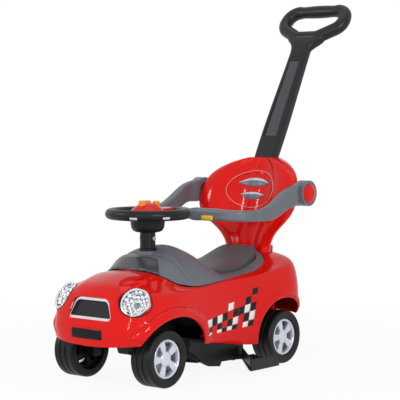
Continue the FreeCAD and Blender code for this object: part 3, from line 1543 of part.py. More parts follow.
os.makedirs("parts", exist_ok=True)
for piece in SUBPARTS:
    if piece.Shape.isNull() or not piece.Shape.isValid() or not piece.Shape.Solids:
        raise RuntimeError("%s has no sound shape" % piece.Label)
    shape = piece.Shape.copy()
    shape.translate(Vector(-number(size.frame_shift_x), 0, 0))
    shape.exportStep("parts/%s.step" % piece.Label)
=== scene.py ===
"""Finishes, trim pieces and studio for the push car with a handle."""

import logging
import math
from dataclasses import dataclass
from enum import Enum
from typing import Callable, Optional, Sequence, Union

import bmesh
import bpy
from mathutils import Matrix, Vector
from mathutils.bvhtree import BVHTree


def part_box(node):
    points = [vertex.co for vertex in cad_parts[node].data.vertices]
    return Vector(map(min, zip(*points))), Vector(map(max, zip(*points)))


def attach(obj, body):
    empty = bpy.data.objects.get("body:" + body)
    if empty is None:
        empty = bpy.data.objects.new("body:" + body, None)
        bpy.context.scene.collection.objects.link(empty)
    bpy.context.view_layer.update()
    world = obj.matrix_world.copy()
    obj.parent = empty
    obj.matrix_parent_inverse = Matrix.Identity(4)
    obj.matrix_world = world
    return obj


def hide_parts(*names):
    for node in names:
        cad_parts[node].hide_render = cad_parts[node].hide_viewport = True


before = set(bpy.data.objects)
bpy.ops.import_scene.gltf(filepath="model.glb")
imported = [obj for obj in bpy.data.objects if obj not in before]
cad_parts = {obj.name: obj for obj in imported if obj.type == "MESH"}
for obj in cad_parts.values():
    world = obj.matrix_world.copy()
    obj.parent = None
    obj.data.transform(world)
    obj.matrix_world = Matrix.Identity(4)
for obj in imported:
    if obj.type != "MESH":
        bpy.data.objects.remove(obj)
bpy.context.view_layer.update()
MM = 0.001
LOG = logging.getLogger("push_car")
SEEN_RAYS = ("Is Camera Ray", "Is Glossy Ray", "Is Transmission Ray")
OUTSIDE = 600.0
EDGE_GAIN = 6.0
BEVEL_SAMPLES = 4

Colour = tuple[int, int, int]
Settings = dict[str, object]
NodeOwner = Union[bpy.types.Material, bpy.types.World]


class Side(Enum):
    """The car's two sides, with the sign of their Y."""

    LEFT = 1
    RIGHT = -1


class Slot(Enum):
    """The record's material slots."""

    RED = "red_gloss"
    GREY = "grey_satin"
    SEAT = "seat_grey"
    BLACK = "black_plastic"
    CHARCOAL = "charcoal_plastic"
    TYRE = "tyre_black"
    HUB = "hub_silver"
    CHROME = "chrome"
    LENS = "clear_lens"
    STEEL = "steel"
    AMBER = "amber_plastic"
    YELLOW = "yellow_plastic"
    BOARD = "board_green"


def point_mm(x: float, y: float, z: float) -> Vector:
    """A point in the shared frame, from millimetres."""
    return Vector((x, y, z)) * MM


def linear(colour: Colour) -> tuple[float, float, float, float]:
    """Turn an eight-bit screen colour into a linear one.

    Args:
        colour: Red, green and blue, 0 to 255.

    Returns:
        The linear colour with full alpha.
    """
    parts = []
    for channel in colour:
        share = channel / 255
        parts.append(share / 12.92 if share <= 0.04045 else ((share + 0.055) / 1.055) ** 2.4)
    return (parts[0], parts[1], parts[2], 1.0)


def turns(steps: int) -> list[float]:
    """Equal steps round a circle, in radians."""
    return [2 * math.pi * k / steps for k in range(steps)]


def linked(name: str, data: bpy.types.ID) -> bpy.types.Object:
    """A new object of some data, linked to the scene."""
    piece = bpy.data.objects.new(name, data)
    bpy.context.scene.collection.objects.link(piece)
    return piece


def add_node(tree: bpy.types.NodeTree, kind: str, settings: Settings, inputs: dict) -> bpy.types.Node:
    """Add a node to a tree, set it up and wire it.

    Args:
        tree: A shader tree or a geometry tree.
        kind: The node's type name.
        settings: The node's own properties, set first.
        inputs: Values or sockets by socket name or number.

    Returns:
        The node.
    """
    node = tree.nodes.new(kind)
    for key, value in settings.items():
        setattr(node, key, value)
    for key, value in inputs.items():
        if isinstance(value, bpy.types.NodeSocket):
            tree.links.new(value, node.inputs[key])
        else:
            node.inputs[key].default_value = value
    return node


# Shader building

class Wire:
    """A shader output that takes part in Python arithmetic."""

    def __init__(self, graph: "Graph", socket: bpy.types.NodeSocket) -> None:
        """Keep the graph and the socket."""
        self.graph = graph
        self.socket = socket

    def _math(self, operation: str, first: "Value", second: "Value" = 0.0) -> "Wire":
        """Add a Math node on two values."""
        return self.graph.add("ShaderNodeMath", {"operation": operation}, {0: first, 1: second})

    def __add__(self, other: "Value") -> "Wire":
        """Sum."""
        return self._math("ADD", self, other)

    __radd__ = __add__

    def __sub__(self, other: "Value") -> "Wire":
        """Difference."""
        return self._math("SUBTRACT", self, other)

    def __rsub__(self, other: "Value") -> "Wire":
        """Reflected difference."""
        return self._math("SUBTRACT", other, self)

    def __mul__(self, other: "Value") -> "Wire":
        """Product."""
        return self._math("MULTIPLY", self, other)

    __rmul__ = __mul__

    def __pow__(self, other: "Value") -> "Wire":
        """Power."""
        return self._math("POWER", self, other)

    def size(self) -> "Wire":
        """The value without its sign."""
        return self._math("ABSOLUTE", self)

    def clamp(self) -> "Wire":
        """The value held between 0 and 1."""
        return self.graph.add("ShaderNodeClamp", {}, {"Value": self})


Value = Union[float, Wire]


class Graph:
    """The node tree of a material or a world, built one node at a time."""

    def __init__(self, owner: NodeOwner) -> None:
        """Start with an empty tree."""
        self.owner = owner
        owner.use_nodes = True
        self.tree = owner.node_tree
        self.tree.nodes.clear()

    @classmethod
    def material(cls, name: str) -> "Graph":
        """The graph of a new material."""
        return cls(bpy.data.materials.new(name))

    def add(self, kind: str, settings: Settings, inputs: dict, output: Union[int, str] = 0) -> Wire:
        """Add a node, set it up and wire it.

        Args:
            kind: The node's type name.
            settings: The node's own properties, set first.
            inputs: Values or wires by socket name or number.
            output: Which output is returned.

        Returns:
            The chosen output.
        """
        plain = {key: value.socket if isinstance(value, Wire) else value for key, value in inputs.items()}
        return Wire(self, add_node(self.tree, kind, settings, plain).outputs[output])

    def place(self) -> Wire:
        """Object coordinates."""
        return self.add("ShaderNodeTexCoord", {}, {}, "Object")

    def axis(self, letter: str) -> Wire:
        """One object coordinate."""
        return self.add("ShaderNodeSeparateXYZ", {}, {0: self.place()}, letter)

    def noise(self, scale: float, detail: float = 2.0, stretch: Optional[Vector] = None) -> Wire:
        """A noise value around one half."""
        where = self.place()
        if stretch is not None:
            where = self.add("ShaderNodeVectorMath", {"operation": "MULTIPLY"}, {0: where, 1: stretch})
        return self.add("ShaderNodeTexNoise", {}, {"Vector": where, "Scale": scale, "Detail": detail}, "Fac")

    def blend(self, share: Value, first: object, second: object) -> Wire:
        """Mix two colours."""
        return self.add("ShaderNodeMix", {"data_type": "RGBA"}, {"Factor": share, 6: first, 7: second}, 2)

    def between(self, limits: tuple[float, float], share: Wire) -> Wire:
        """A value between two limits."""
        return limits[0] + (limits[1] - limits[0]) * share

    def rounded(self, radius: float) -> Wire:
        """The normal with its sharp edges rounded."""
        return self.add("ShaderNodeBevel", {"samples": BEVEL_SAMPLES}, {"Radius": radius})

    def edges(self, radius: float) -> Wire:
        """A mask that is 1 along sharp edges and 0 on open faces."""
        soft = self.rounded(radius)
        flat = self.add("ShaderNodeNewGeometry", {}, {}, "Normal")
        agree = self.add("ShaderNodeVectorMath", {"operation": "DOT_PRODUCT"}, {0: soft, 1: flat}, "Value")
        return ((1 - agree) * EDGE_GAIN).clamp()

    def relief(self, height: Wire, depth: float, edge_radius: float) -> Wire:
        """A normal with rounded edges and a fine relief."""
        inputs = {"Height": height, "Strength": 1.0, "Distance": depth}
        if edge_radius > 0:
            inputs["Normal"] = self.rounded(edge_radius)
        return self.add("ShaderNodeBump", {}, inputs)

    def seen(self) -> Wire:
        """1 for what the camera, a reflection or a clear piece shows, 0 for what gives light."""
        camera, glossy, clear = (self.add("ShaderNodeLightPath", {}, {}, ray) for ray in SEEN_RAYS)
        return (camera + glossy + clear).clamp()

    def close(self, shader: Wire, end: str = "ShaderNodeOutputMaterial") -> NodeOwner:
        """Send a shader to the output and hand back what owns the tree."""
        self.tree.links.new(shader.socket, self.tree.nodes.new(end).inputs["Surface"])
        return self.owner


# Finishes

@dataclass(frozen=True)
class MouldedPlastic:
    """Injection moulded plastic, from gloss to matt, with painted highlights lightening its sharp edges."""

    name: str
    colour: Colour
    shade: Colour
    # colour of the painted highlight along sharp edges
    edge: Colour
    roughness: tuple[float, float]
    coat: float = 0.0
    specular: float = 0.4
    grain: float = 700.0
    grain_depth: float = 0.00002
    edge_radius: float = 0.0009
    edge_highlight: float = 0.35
    edge_highlight_radius: float = 0.0012
    edge_highlight_scale: float = 90.0
    cloud: float = 7.0
    flow: float = 38.0
    coat_roughness: float = 0.04

    def make(self) -> bpy.types.Material:
        """Build the material.

        Returns:
            The finished material.
        """
        graph = Graph.material(self.name)
        cloud = graph.noise(self.cloud, 3.0)
        flow = graph.noise(self.flow, 4.0, Vector((1.0, 1.0, 0.35)))
        grain = graph.noise(self.grain, 2.0)
        tone = graph.blend((cloud * 0.75 + flow * 0.25).clamp(), linear(self.shade), linear(self.colour))
        # painted highlight: patches along sharp edges blend towards the lighter edge colour, as if lit on a
        # rounded edge
        highlight_patches = graph.noise(self.edge_highlight_scale, 3.0) ** 1.5
        painted_edge_highlight = (graph.edges(self.edge_highlight_radius) * highlight_patches * (2.0 * self.edge_highlight)).clamp()
        colour = graph.blend(painted_edge_highlight, tone, linear(self.edge))
        rough = graph.between(self.roughness, flow * 0.5 + grain * 0.5)
        shader = graph.add("ShaderNodeBsdfPrincipled", {}, {
            "Base Color": colour, "Roughness": rough, "Specular IOR Level": self.specular,
            "Coat Weight": self.coat, "Coat Roughness": self.coat_roughness,
            "Normal": graph.relief(grain, self.grain_depth, self.edge_radius)})
        return graph.close(shader)


@dataclass(frozen=True)
class SilverHub:
    """Silver hub paint, with painted shade that darkens the recesses and leaves the raised spokes bright."""

    name: str
    colour: Colour
    # colour of the painted shade in the recesses
    recess: Colour
    floor: float
    crest: float
    roughness: tuple[float, float]
    flake: float = 1600.0
    flake_depth: float = 0.000012
    film: float = 45.0
    metallic: float = 0.35
    coat: float = 0.3
    edge_radius: float = 0.0009

    def make(self) -> bpy.types.Material:
        """Build the material.

        Returns:
            The finished material.
        """
        graph = Graph.material(self.name)
        flake = graph.noise(self.flake, 1.0)
        film = graph.noise(self.film, 3.0)
        height = (self.crest - self.floor) * MM
        # painted shade: the deeper a point lies below the spokes' face, the nearer it goes to the dark
        # recess colour
        raised = ((graph.axis("Y").size() - self.floor * MM) * (1 / height)).clamp()
        share = (raised * 0.86 + film * 0.14).clamp()
        colour = graph.blend(share, linear(self.recess), linear(self.colour))
        rough = graph.between(self.roughness, film * 0.6 + flake * 0.4)
        shader = graph.add("ShaderNodeBsdfPrincipled", {}, {
            "Base Color": colour, "Metallic": self.metallic, "Roughness": rough, "Specular IOR Level": 0.6,
            "Coat Weight": self.coat, "Coat Roughness": 0.05,
            "Normal": graph.relief(flake, self.flake_depth, self.edge_radius)})
        return graph.close(shader)


@dataclass(frozen=True)
class PlatedMetal:
    """Bright plating or zinc, with fine brush marks and smudges."""

    name: str
    colour: Colour
    smudge: Colour
    roughness: tuple[float, float]
    brush: Vector = Vector((1.0, 1.0, 1.0))
    brush_scale: float = 260.0
    brush_depth: float = 0.000012
    film: float = 55.0
    edge_radius: float = 0.0006

    def make(self) -> bpy.types.Material:
        """Build the material.

        Returns:
            The finished material.
        """
        graph = Graph.material(self.name)
        film = graph.noise(self.film, 4.0)
        marks = graph.noise(self.brush_scale, 2.0, self.brush)
        colour = graph.blend(film, linear(self.smudge), linear(self.colour))
        rough = graph.between(self.roughness, film * 0.6 + marks * 0.4)
        shader = graph.add("ShaderNodeBsdfPrincipled", {}, {
            "Base Color": colour, "Metallic": 1.0, "Roughness": rough,
            "Normal": graph.relief(marks, self.brush_depth, self.edge_radius)})
        return graph.close(shader)


@dataclass(frozen=True)
class ClearPlastic:
    """Clear lens plastic, pressed with fine flutes."""

    name: str
    tint: Colour
    flute: float
    flute_depth: float = 0.0006
    haze: float = 30.0
    ior: float = 1.12

    def make(self) -> bpy.types.Material:
        """Build the material.

        Returns:
            The finished material.
        """
        graph = Graph.material(self.name)
        flutes = graph.add("ShaderNodeTexVoronoi", {"feature": "SMOOTH_F1"},
                           {"Vector": graph.place(), "Scale": self.flute}, "Distance")
        haze = graph.noise(self.haze, 3.0)
        shader = graph.add("ShaderNodeBsdfPrincipled", {}, {
            "Base Color": linear(self.tint), "Roughness": 0.02 + haze * 0.08, "Transmission Weight": 1.0,
            "IOR": self.ior, "Normal": graph.relief(flutes, self.flute_depth, 0.0)})
        return graph.close(shader)


RED = MouldedPlastic("red_gloss", (224, 16, 9), (210, 12, 7), (236, 84, 70), (0.18, 0.27), coat=0.30,
                     specular=0.05, grain=420.0, grain_depth=0.000012, edge_highlight=0.2)
GREY = MouldedPlastic("grey_satin", (104, 108, 116), (94, 98, 106), (150, 154, 162), (0.30, 0.44),
                      grain=900.0)
SEAT = MouldedPlastic("seat_grey", (74, 74, 78), (64, 64, 68), (112, 112, 116), (0.42, 0.56), grain=520.0,
                      grain_depth=0.00005)
SMOKED = MouldedPlastic("smoked_windscreen", (66, 66, 73), (58, 58, 66), (96, 96, 104), (0.16, 0.26),
                        coat=0.3, grain=300.0, grain_depth=0.00001)
BLACK = MouldedPlastic("black_plastic", (20, 20, 22), (14, 14, 16), (62, 62, 66), (0.32, 0.46),
                       specular=0.22, grain=800.0, grain_depth=0.00003)
CHARCOAL = MouldedPlastic("charcoal_plastic", (28, 29, 32), (22, 23, 26), (74, 76, 82), (0.30, 0.44),
                          specular=0.26, grain=850.0, grain_depth=0.00003)
PANEL = MouldedPlastic("stem_panel_grey", (62, 63, 68), (56, 57, 62), (96, 98, 102), (0.38, 0.5),
                       grain=1100.0, grain_depth=0.00004)
TYRE = MouldedPlastic("tyre_black", (22, 22, 24), (15, 15, 17), (54, 54, 58), (0.38, 0.55), specular=0.22,
                      grain=620.0, grain_depth=0.00006, edge_highlight=0.4)
# the second colour is the painted shade of the hub's recesses
HUB = SilverHub("hub_silver", (214, 218, 230), (104, 110, 124), 127.6, 133.5, (0.18, 0.30))
# painted highlight finish, for the vent pads' upper slope and the rim pads
HIGHLIGHT_SILVER = MouldedPlastic("trim_silver", (206, 210, 222), (186, 191, 206), (236, 238, 244), (0.18, 0.30),
                             coat=0.3, specular=0.6, grain=1400.0, grain_depth=0.000015, edge_highlight=0.15)
# pale colour painted as the highlight on the backrest's raised line
PALE_LINE = MouldedPlastic("pale_line", (222, 158, 150), (208, 138, 130), (238, 200, 194), (0.18, 0.28),
                           coat=0.3, grain=420.0, grain_depth=0.000012, edge_highlight=0.2)
AMBER = MouldedPlastic("amber_plastic", (246, 152, 20), (236, 128, 10), (252, 196, 96), (0.16, 0.26),
                       coat=0.3, grain=500.0, grain_depth=0.00001)
YELLOW = MouldedPlastic("yellow_plastic", (240, 196, 28), (228, 176, 14), (250, 224, 120), (0.20, 0.30),
                        coat=0.2, grain=500.0, grain_depth=0.00001)
BOARD = MouldedPlastic("board_green", (36, 104, 56), (28, 84, 46), (150, 130, 70), (0.30, 0.42))
STICKER_WHITE = MouldedPlastic("sticker_white", (240, 238, 238), (228, 226, 227), (226, 226, 230),
                               (0.22, 0.32), grain=380.0, grain_depth=0.00001, edge_radius=0.0)
STICKER_BLACK = MouldedPlastic("sticker_black", (16, 12, 13), (11, 9, 10), (46, 40, 42), (0.22, 0.32),
                               specular=0.18, grain=380.0, grain_depth=0.00001, edge_radius=0.0)
CHROME = PlatedMetal("chrome", (228, 230, 233), (206, 208, 212), (0.05, 0.13))
LAMP_SILVER = PlatedMetal("lamp_silver", (240, 242, 244), (224, 227, 231), (0.18, 0.30))
STEEL = PlatedMetal("steel", (176, 178, 182), (150, 152, 156), (0.22, 0.36), Vector((1.0, 0.1, 1.0)))
LENS = ClearPlastic("clear_lens", (248, 250, 252), 240.0)

SLOT_FINISH = {finish.name: finish for finish in (
    RED, GREY, SEAT, BLACK, CHARCOAL, TYRE, HUB, CHROME, LENS, STEEL, AMBER, YELLOW, BOARD)}
Finish = Union[MouldedPlastic, SilverHub, PlatedMetal, ClearPlastic]


class PaintShelf:
    """Each finish made once and handed out by name."""

    def __init__(self) -> None:
        """Start with nothing made."""
        self.made: dict[str, bpy.types.Material] = {}

    def get(self, finish: Finish) -> bpy.types.Material:
        """The material of a finish."""
        if finish.name not in self.made:
            self.made[finish.name] = finish.make()
        return self.made[finish.name]


SHELF = PaintShelf()


# Mesh helpers

class Surface:
    """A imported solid's faces, for laying trim on them."""

    def __init__(self, node: str) -> None:
        """Gather the node's triangles."""
        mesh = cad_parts[node].data
        corners = [v.co.copy() for v in mesh.vertices]
        faces = [tuple(p.vertices) for p in mesh.polygons]
        self.tree = BVHTree.FromPolygons(corners, faces)

    def meet(self, start: Vector, aim: Vector, lift: float = 0.0) -> Optional[Vector]:
        """Where a line from start meets the surface.

        Args:
            start: Start of the line.
            aim: Its direction.
            lift: How far to stand off the surface, in metres.

        Returns:
            The point, or None where the line misses.
        """
        spot, normal, _, _ = self.tree.ray_cast(start, aim.normalized())
        if spot is None:
            return None
        if normal.dot(aim) > 0:
            normal = -normal
        return spot + normal * lift

    def from_front(self, y: float, z: float, lift: float) -> Optional[Vector]:
        """Where a line from ahead of the car meets the surface, in millimetres."""
        return self.meet(point_mm(OUTSIDE, y, z), Vector((-1, 0, 0)), lift * MM)

    def from_side(self, side: Side, x: float, z: float, lift: float) -> Optional[Vector]:
        """Where a line from beside the car meets the surface, in millimetres."""
        return self.meet(point_mm(x, OUTSIDE * side.value, z), Vector((0, -side.value, 0)), lift * MM)


def finished(name: str, build: bmesh.types.BMesh, finishes: Sequence[Finish]) -> bpy.types.Object:
    """Turn a bmesh into a linked object with its materials.

    Args:
        name: The piece's name.
        build: The mesh, in the shared frame; it is freed.
        finishes: One finish for each material number.

    Returns:
        The new object, smooth shaded.
    """
    mesh = bpy.data.meshes.new(name)
    bmesh.ops.recalc_face_normals(build, faces=build.faces[:])
    build.to_mesh(mesh)
    build.free()
    for polygon in mesh.polygons:
        polygon.use_smooth = True
    for finish in finishes:
        mesh.materials.append(SHELF.get(finish))
    return linked(name, mesh)


def plain_mesh(piece: bpy.types.Object) -> bpy.types.Object:
    """Apply every modifier of a piece into its mesh.

    Args:
        piece: The piece.

    Returns:
        The same piece, as a plain mesh.
    """
    graph = bpy.context.evaluated_depsgraph_get()
    mesh = bpy.data.meshes.new_from_object(piece.evaluated_get(graph), preserve_all_data_layers=True,
                                           depsgraph=graph)
    mesh.name = piece.name
    piece.modifiers.clear()
    piece.data = mesh
    return piece


def soften(piece: bpy.types.Object, width: float, angle: float = 35.0) -> bpy.types.Object:
    """Bevel the sharp edges of a piece.

    Args:
        piece: The piece.
        width: Width of the bevel in metres.
        angle: The least angle that counts as sharp, in degrees.

    Returns:
        The same piece, as a plain mesh.
    """
    bevel = piece.modifiers.new("soft_edges", "BEVEL")
    bevel.width = width
    bevel.segments = 3
    bevel.limit_method = "ANGLE"
    bevel.angle_limit = math.radians(angle)
    return plain_mesh(piece)


def laid_grid(build: bmesh.types.BMesh, rows: int, columns: int,
              at: Callable[[float, float], Optional[Vector]], material: int = 0) -> None:
    """Add a grid of quads whose corners come from a function of two shares.

    Args:
        build: The mesh to add to.
        rows: Number of quads upwards.
        columns: Number of quads across.
        at: Gives a corner from (across, up), each 0 to 1, or None to leave a hole.
        material: Material number of the faces.
    """
    net = []
    for i in range(rows + 1):
        spots = [at(j / columns, i / rows) for j in range(columns + 1)]
        net.append([None if spot is None else build.verts.new(spot) for spot in spots])
    for i in range(rows):
        for j in range(columns):
            corners = [net[i][j], net[i][j + 1], net[i + 1][j + 1], net[i + 1][j]]
            if None not in corners:
                build.faces.new(corners).material_index = material


def turned(build: bmesh.types.BMesh, outline: Sequence[tuple[float, float]], sides: int, place: Matrix,
           material: int = 0) -> None:
    """Add a solid of revolution.

    Args:
        build: The mesh to add to.
        outline: (radius, height) pairs in metres, from the foot on the axis to the tip on the axis.
        sides: Number of steps round the axis.
        place: Where the axis stands.
        material: Material number of the faces.
    """
    rings = []
    for radius, height in outline:
        spots = [Vector((radius * math.cos(t), radius * math.sin(t), height)) for t in turns(sides)]
        rings.append([build.verts.new(place @ spot) for spot in (spots if radius > 0 else spots[:1])])
    for low, high in zip(rings, rings[1:]):
        for k in range(sides):
            after = (k + 1) % sides
            pairs = ((low, k), (low, after), (high, after), (high, k))
            unique = list(dict.fromkeys(ring[j % len(ring)] for ring, j in pairs))
            if len(unique) > 2:
                build.faces.new(unique).material_index = material


def bead(build: bmesh.types.BMesh, path: Sequence[Vector], radius: float, sides: int,
         across: Vector = Vector((1, 0, 0))) -> None:
    """Add a round bead along a closed path.

    Args:
        build: The mesh to add to.
        path: Points of the centre line.
        radius: The bead's radius.
        sides: Steps round the bead.
        across: A direction that the path never runs in.
    """
    rings = []
    for i, spot in enumerate(path):
        ahead = (path[(i + 1) % len(path)] - path[i - 1]).normalized()
        out = ahead.cross(across).normalized()
        up = ahead.cross(out)
        rings.append([build.verts.new(spot + (out * math.cos(t) + up * math.sin(t)) * radius)
                      for t in turns(sides)])
    for low, high in zip(rings, rings[1:] + rings[:1]):
        for k in range(sides):
            after = (k + 1) % sides
            build.faces.new([low[k], low[after], high[after], high[k]])


def fit(piece: bpy.types.Object, body: str) -> None:
    """Let a piece ride on a body and report it."""
    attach(piece, body)
    LOG.info("%s on %s: %d faces", piece.name, body, len(piece.data.polygons))


def sheet(name: str, build: bmesh.types.BMesh, finishes: Sequence[Finish], thickness: float,
          body: str = "car_body") -> None:
    """Close a laid sheet into a thin piece and fit it.

    Args:
        name: The piece's name.
        build: The sheet; it is freed.
        finishes: One finish for each material number.
        thickness: Thickness in millimetres.
        body: What it rides on.
    """
    piece = finished(name, build, finishes)
    solid = piece.modifiers.new("thickness", "SOLIDIFY")
    solid.thickness = thickness * MM
    solid.offset = 0.0
    fit(plain_mesh(piece), body)


# Geometry nodes

class NodeTree:
    """A geometry node tree with named inputs."""

    def __init__(self, name: str) -> None:
        """Start a tree with a geometry input and output.

        Args:
            name: The tree's name.
        """
        self.tree = bpy.data.node_groups.new(name, "GeometryNodeTree")
        self.tree.interface.new_socket("Geometry", in_out="INPUT", socket_type="NodeSocketGeometry")
        self.tree.interface.new_socket("Geometry", in_out="OUTPUT", socket_type="NodeSocketGeometry")
        self.head = self.tree.nodes.new("NodeGroupInput")
        self.tail = self.tree.nodes.new("NodeGroupOutput")
        self.sockets: dict[str, str] = {}

    def input(self, name: str, kind: str) -> bpy.types.NodeSocket:
        """Add a named input and hand back its socket."""
        made = self.tree.interface.new_socket(name, in_out="INPUT", socket_type=kind)
        self.sockets[name] = made.identifier
        return self.head.outputs[name]

    def add(self, kind: str, settings: Settings, inputs: dict) -> bpy.types.Node:
        """Add a node, set it up and wire it."""
        return add_node(self.tree, kind, settings, inputs)

    def finish(self, geometry: bpy.types.NodeSocket, material: bpy.types.NodeSocket) -> None:
        """Realize the instances, set the material and close the tree."""
        real = self.add("GeometryNodeRealizeInstances", {}, {"Geometry": geometry})
        painted = self.add("GeometryNodeSetMaterial", {},
                           {"Geometry": real.outputs[0], "Material": material})
        self.tree.links.new(painted.outputs[0], self.tail.inputs[0])

    def apply(self, piece: bpy.types.Object, values: dict[str, object]) -> bpy.types.Object:
        """Run the tree on a piece and keep the result as a plain mesh.

        Args:
            piece: The object that carries the points.
            values: The inputs' values by name.

        Returns:
            The piece with its new mesh.
        """
        modifier = piece.modifiers.new(self.tree.name, "NODES")
        modifier.node_group = self.tree
        for name, value in values.items():
            modifier[self.sockets[name]] = value
        return plain_mesh(piece)


def scatter_tree(name: str) -> NodeTree:
    """A tree that sets a copy of one mesh on every point, turned to the point's own aim.

    Args:
        name: The tree's name.

    Returns:
        The tree, with the inputs Source, Scale and Material.
    """
    tree = NodeTree(name)
    source = tree.input("Source", "NodeSocketObject")
    scale = tree.input("Scale", "NodeSocketFloat")
    paint = tree.input("Material", "NodeSocketMaterial")
    shape = tree.add("GeometryNodeObjectInfo", {}, {"Object": source})
    aim = tree.add("GeometryNodeInputNamedAttribute", {"data_type": "FLOAT_VECTOR"}, {"Name": "aim"})
    turn = tree.add("FunctionNodeAlignRotationToVector", {"axis": "Z"}, {"Vector": aim.outputs[0]})
    copies = tree.add("GeometryNodeInstanceOnPoints", {}, {
        "Points": tree.head.outputs[0], "Instance": shape.outputs["Geometry"], "Rotation": turn.outputs[0],
        "Scale": scale})
    tree.finish(copies.outputs[0], paint)
    return tree


def points_piece(name: str, spots: Sequence[Vector], aims: Sequence[Vector]) -> bpy.types.Object:
    """An object of loose points, each with an aim.

    Args:
        name: The object's name.
        spots: The points.
        aims: One direction for each point.

    Returns:
        The object.
    """
    mesh = bpy.data.meshes.new(name)
    mesh.from_pydata([tuple(s) for s in spots], [], [])
    aim = mesh.attributes.new("aim", "FLOAT_VECTOR", "POINT")
    for i, direction in enumerate(aims):
        aim.data[i].vector = direction
    return linked(name, mesh)


# Carried-over solids

SLOT_NODES = (
    (Slot.GREY, ("backrest_vents", "cockpit_trim", "guard_arm")),
    (Slot.RED, ("body_shell", "steering_cover", "guard_button", "backrest")),
    (Slot.SEAT, ("seat_lid",)),
    (Slot.CHARCOAL, ("push_handle", "footrest")),
    (Slot.TYRE, ("wheel_",)),
    (Slot.HUB, ("hub_cap",)),
    (Slot.CHROME, ("grille_frame", "headlight_reflector")),
    (Slot.LENS, ("headlight_lens",)),
    (Slot.AMBER, ("horn_button", "sound_button")),
    (Slot.YELLOW, ("guard_latch",)),
    (Slot.BOARD, ("horn_board",)),
    (Slot.STEEL, ("steering_rod", "steering_bolt", "rear_axle", "front_axle", "seat_hinge_pin",
                  "chassis_screws", "handle_screws", "horn_batteries")),
)


@dataclass(frozen=True)
class CarriedSolids:
    """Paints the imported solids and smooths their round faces."""

    smooth_angle: float = 32.0
    weld: float = 0.00001

    def slot_of(self, node: str) -> Slot:
        """The slot a node is painted from."""
        return next((slot for slot, starts in SLOT_NODES if node.startswith(starts)), Slot.BLACK)

    def smooth_tree(self) -> bpy.types.NodeTree:
        """A node tree that shades smooth below an angle.

        Returns:
            The tree.
        """
        tree = NodeTree("smooth_round_faces")
        angle = tree.add("GeometryNodeInputMeshEdgeAngle", {}, {})
        gentle = tree.add("FunctionNodeCompare", {"data_type": "FLOAT", "operation": "LESS_THAN"},
                          {0: angle.outputs[0], 1: math.radians(self.smooth_angle)})
        faces = tree.add("GeometryNodeSetShadeSmooth", {"domain": "FACE"},
                         {"Geometry": tree.head.outputs[0], "Shade Smooth": True})
        lines = tree.add("GeometryNodeSetShadeSmooth", {"domain": "EDGE"},
                         {"Geometry": faces.outputs[0], "Shade Smooth": gentle.outputs[0]})
        tree.tree.links.new(lines.outputs[0], tree.tail.inputs[0])
        return tree.tree

    def dress(self) -> None:
        """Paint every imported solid."""
        tree = self.smooth_tree()
        for name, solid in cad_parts.items():
            solid.data.materials.clear()
            solid.data.materials.append(SHELF.get(SLOT_FINISH[self.slot_of(name).value]))
            weld = solid.modifiers.new("weld", "WELD")
            weld.merge_threshold = self.weld
            solid.modifiers.new("smooth", "NODES").node_group = tree


# Body trim

CHECK_MARKS = "WK"


@dataclass
class NumberPlate:
    """The bare plate on the front bumper."""

    half_width: float = 43.5
    low: float = 107.0
    high: float = 128.5
    corner: float = 2.0
    lift: float = 0.5
    rim: float = 0.35
    rim_quads: float = 0.99
    thickness: float = 0.9
    rows: int = 12
    columns: int = 40

    def spot(self, surface: Surface, across: float, up: float) -> Optional[Vector]:
        """A point of the plate's face.

        Args:
            surface: What carries the plate.
            across: Share across, 0 to 1.
            up: Share upwards, 0 to 1.

        Returns:
            The point on the bumper.
        """
        half = (self.high - self.low) / 2
        rise = (2 * up - 1) * half
        over = abs(rise) - (half - self.corner)
        width = self.half_width
        if over > 0:
            width += math.sqrt(max(self.corner ** 2 - over ** 2, 0)) - self.corner
        edge = min(self.rows * min(up, 1 - up), self.columns * min(across, 1 - across))
        lift = self.lift + (self.rim if edge < self.rim_quads else 0.0)
        return surface.from_front((2 * across - 1) * width, (self.low + self.high) / 2 + rise, lift)

    def build(self) -> None:
        """Lay the plate on the bumper."""
        surface = Surface("body_shell")
        build = bmesh.new()
        laid_grid(build, self.rows, self.columns, lambda a, b: self.spot(surface, a, b))
        sheet("number_plate", build, [STICKER_BLACK], self.thickness)


@dataclass
class CheckerBand:
    """A slanted checkered strip along the car's side."""

    front_x: float = 195.5
    column: float = 17.8
    low: float = 97.0
    climb: float = 0.7
    lean: float = 0.26
    row_heights: tuple[float, ...] = (5.0, 11.0, 18.0, 18.0, 15.0)
    row_growth: tuple[float, ...] = (1.05, 1.2, 0.15, 0.0, 0.0)
    rows: tuple[str, ...] = ("W.WKWK.WK.", "K.K.KW.KW.", "WKWK.KKWK.", "....W..K..", "........K.")
    gap: float = 0.015
    lift: float = 0.22
    thickness: float = 0.2
    steps: int = 4

    def spot(self, column: float, row: float) -> tuple[float, float]:
        """The X and Z of a place on the strip's own grid.

        Args:
            column: Columns from the front.
            row: Rows from the foot.

        Returns:
            X and Z in millimetres.
        """
        rise = 0.0
        for i, (height, growth) in enumerate(zip(self.row_heights, self.row_growth)):
            rise += (height + growth * column) * min(max(row - i, 0.0), 1.0)
        share = column / len(self.rows[0])
        x = self.front_x - self.column * column - self.lean * share * rise
        return x, self.low + self.climb * column + rise

    def build(self, side: Side) -> None:
        """Lay one side's strip.

        Args:
            side: Which side of the car.
        """
        surface = Surface("body_shell")
        build = bmesh.new()

        def corner(across: float, up: float, column: int, row: int) -> Optional[Vector]:
            """A corner of one check on the car's side."""
            inner = 1 - 2 * self.gap
            x, z = self.spot(column + self.gap + across * inner, row + self.gap + up * inner)
            return surface.from_side(side, x, z, self.lift)

        for row, marks in enumerate(self.rows):
            for column, mark in enumerate(marks):
                if mark in CHECK_MARKS:
                    laid_grid(build, self.steps, self.steps, lambda a, b: corner(a, b, column, row),
                              CHECK_MARKS.index(mark))
        name = "checker_band_" + side.name.lower()
        sheet(name, build, [STICKER_WHITE, STICKER_BLACK], self.thickness)


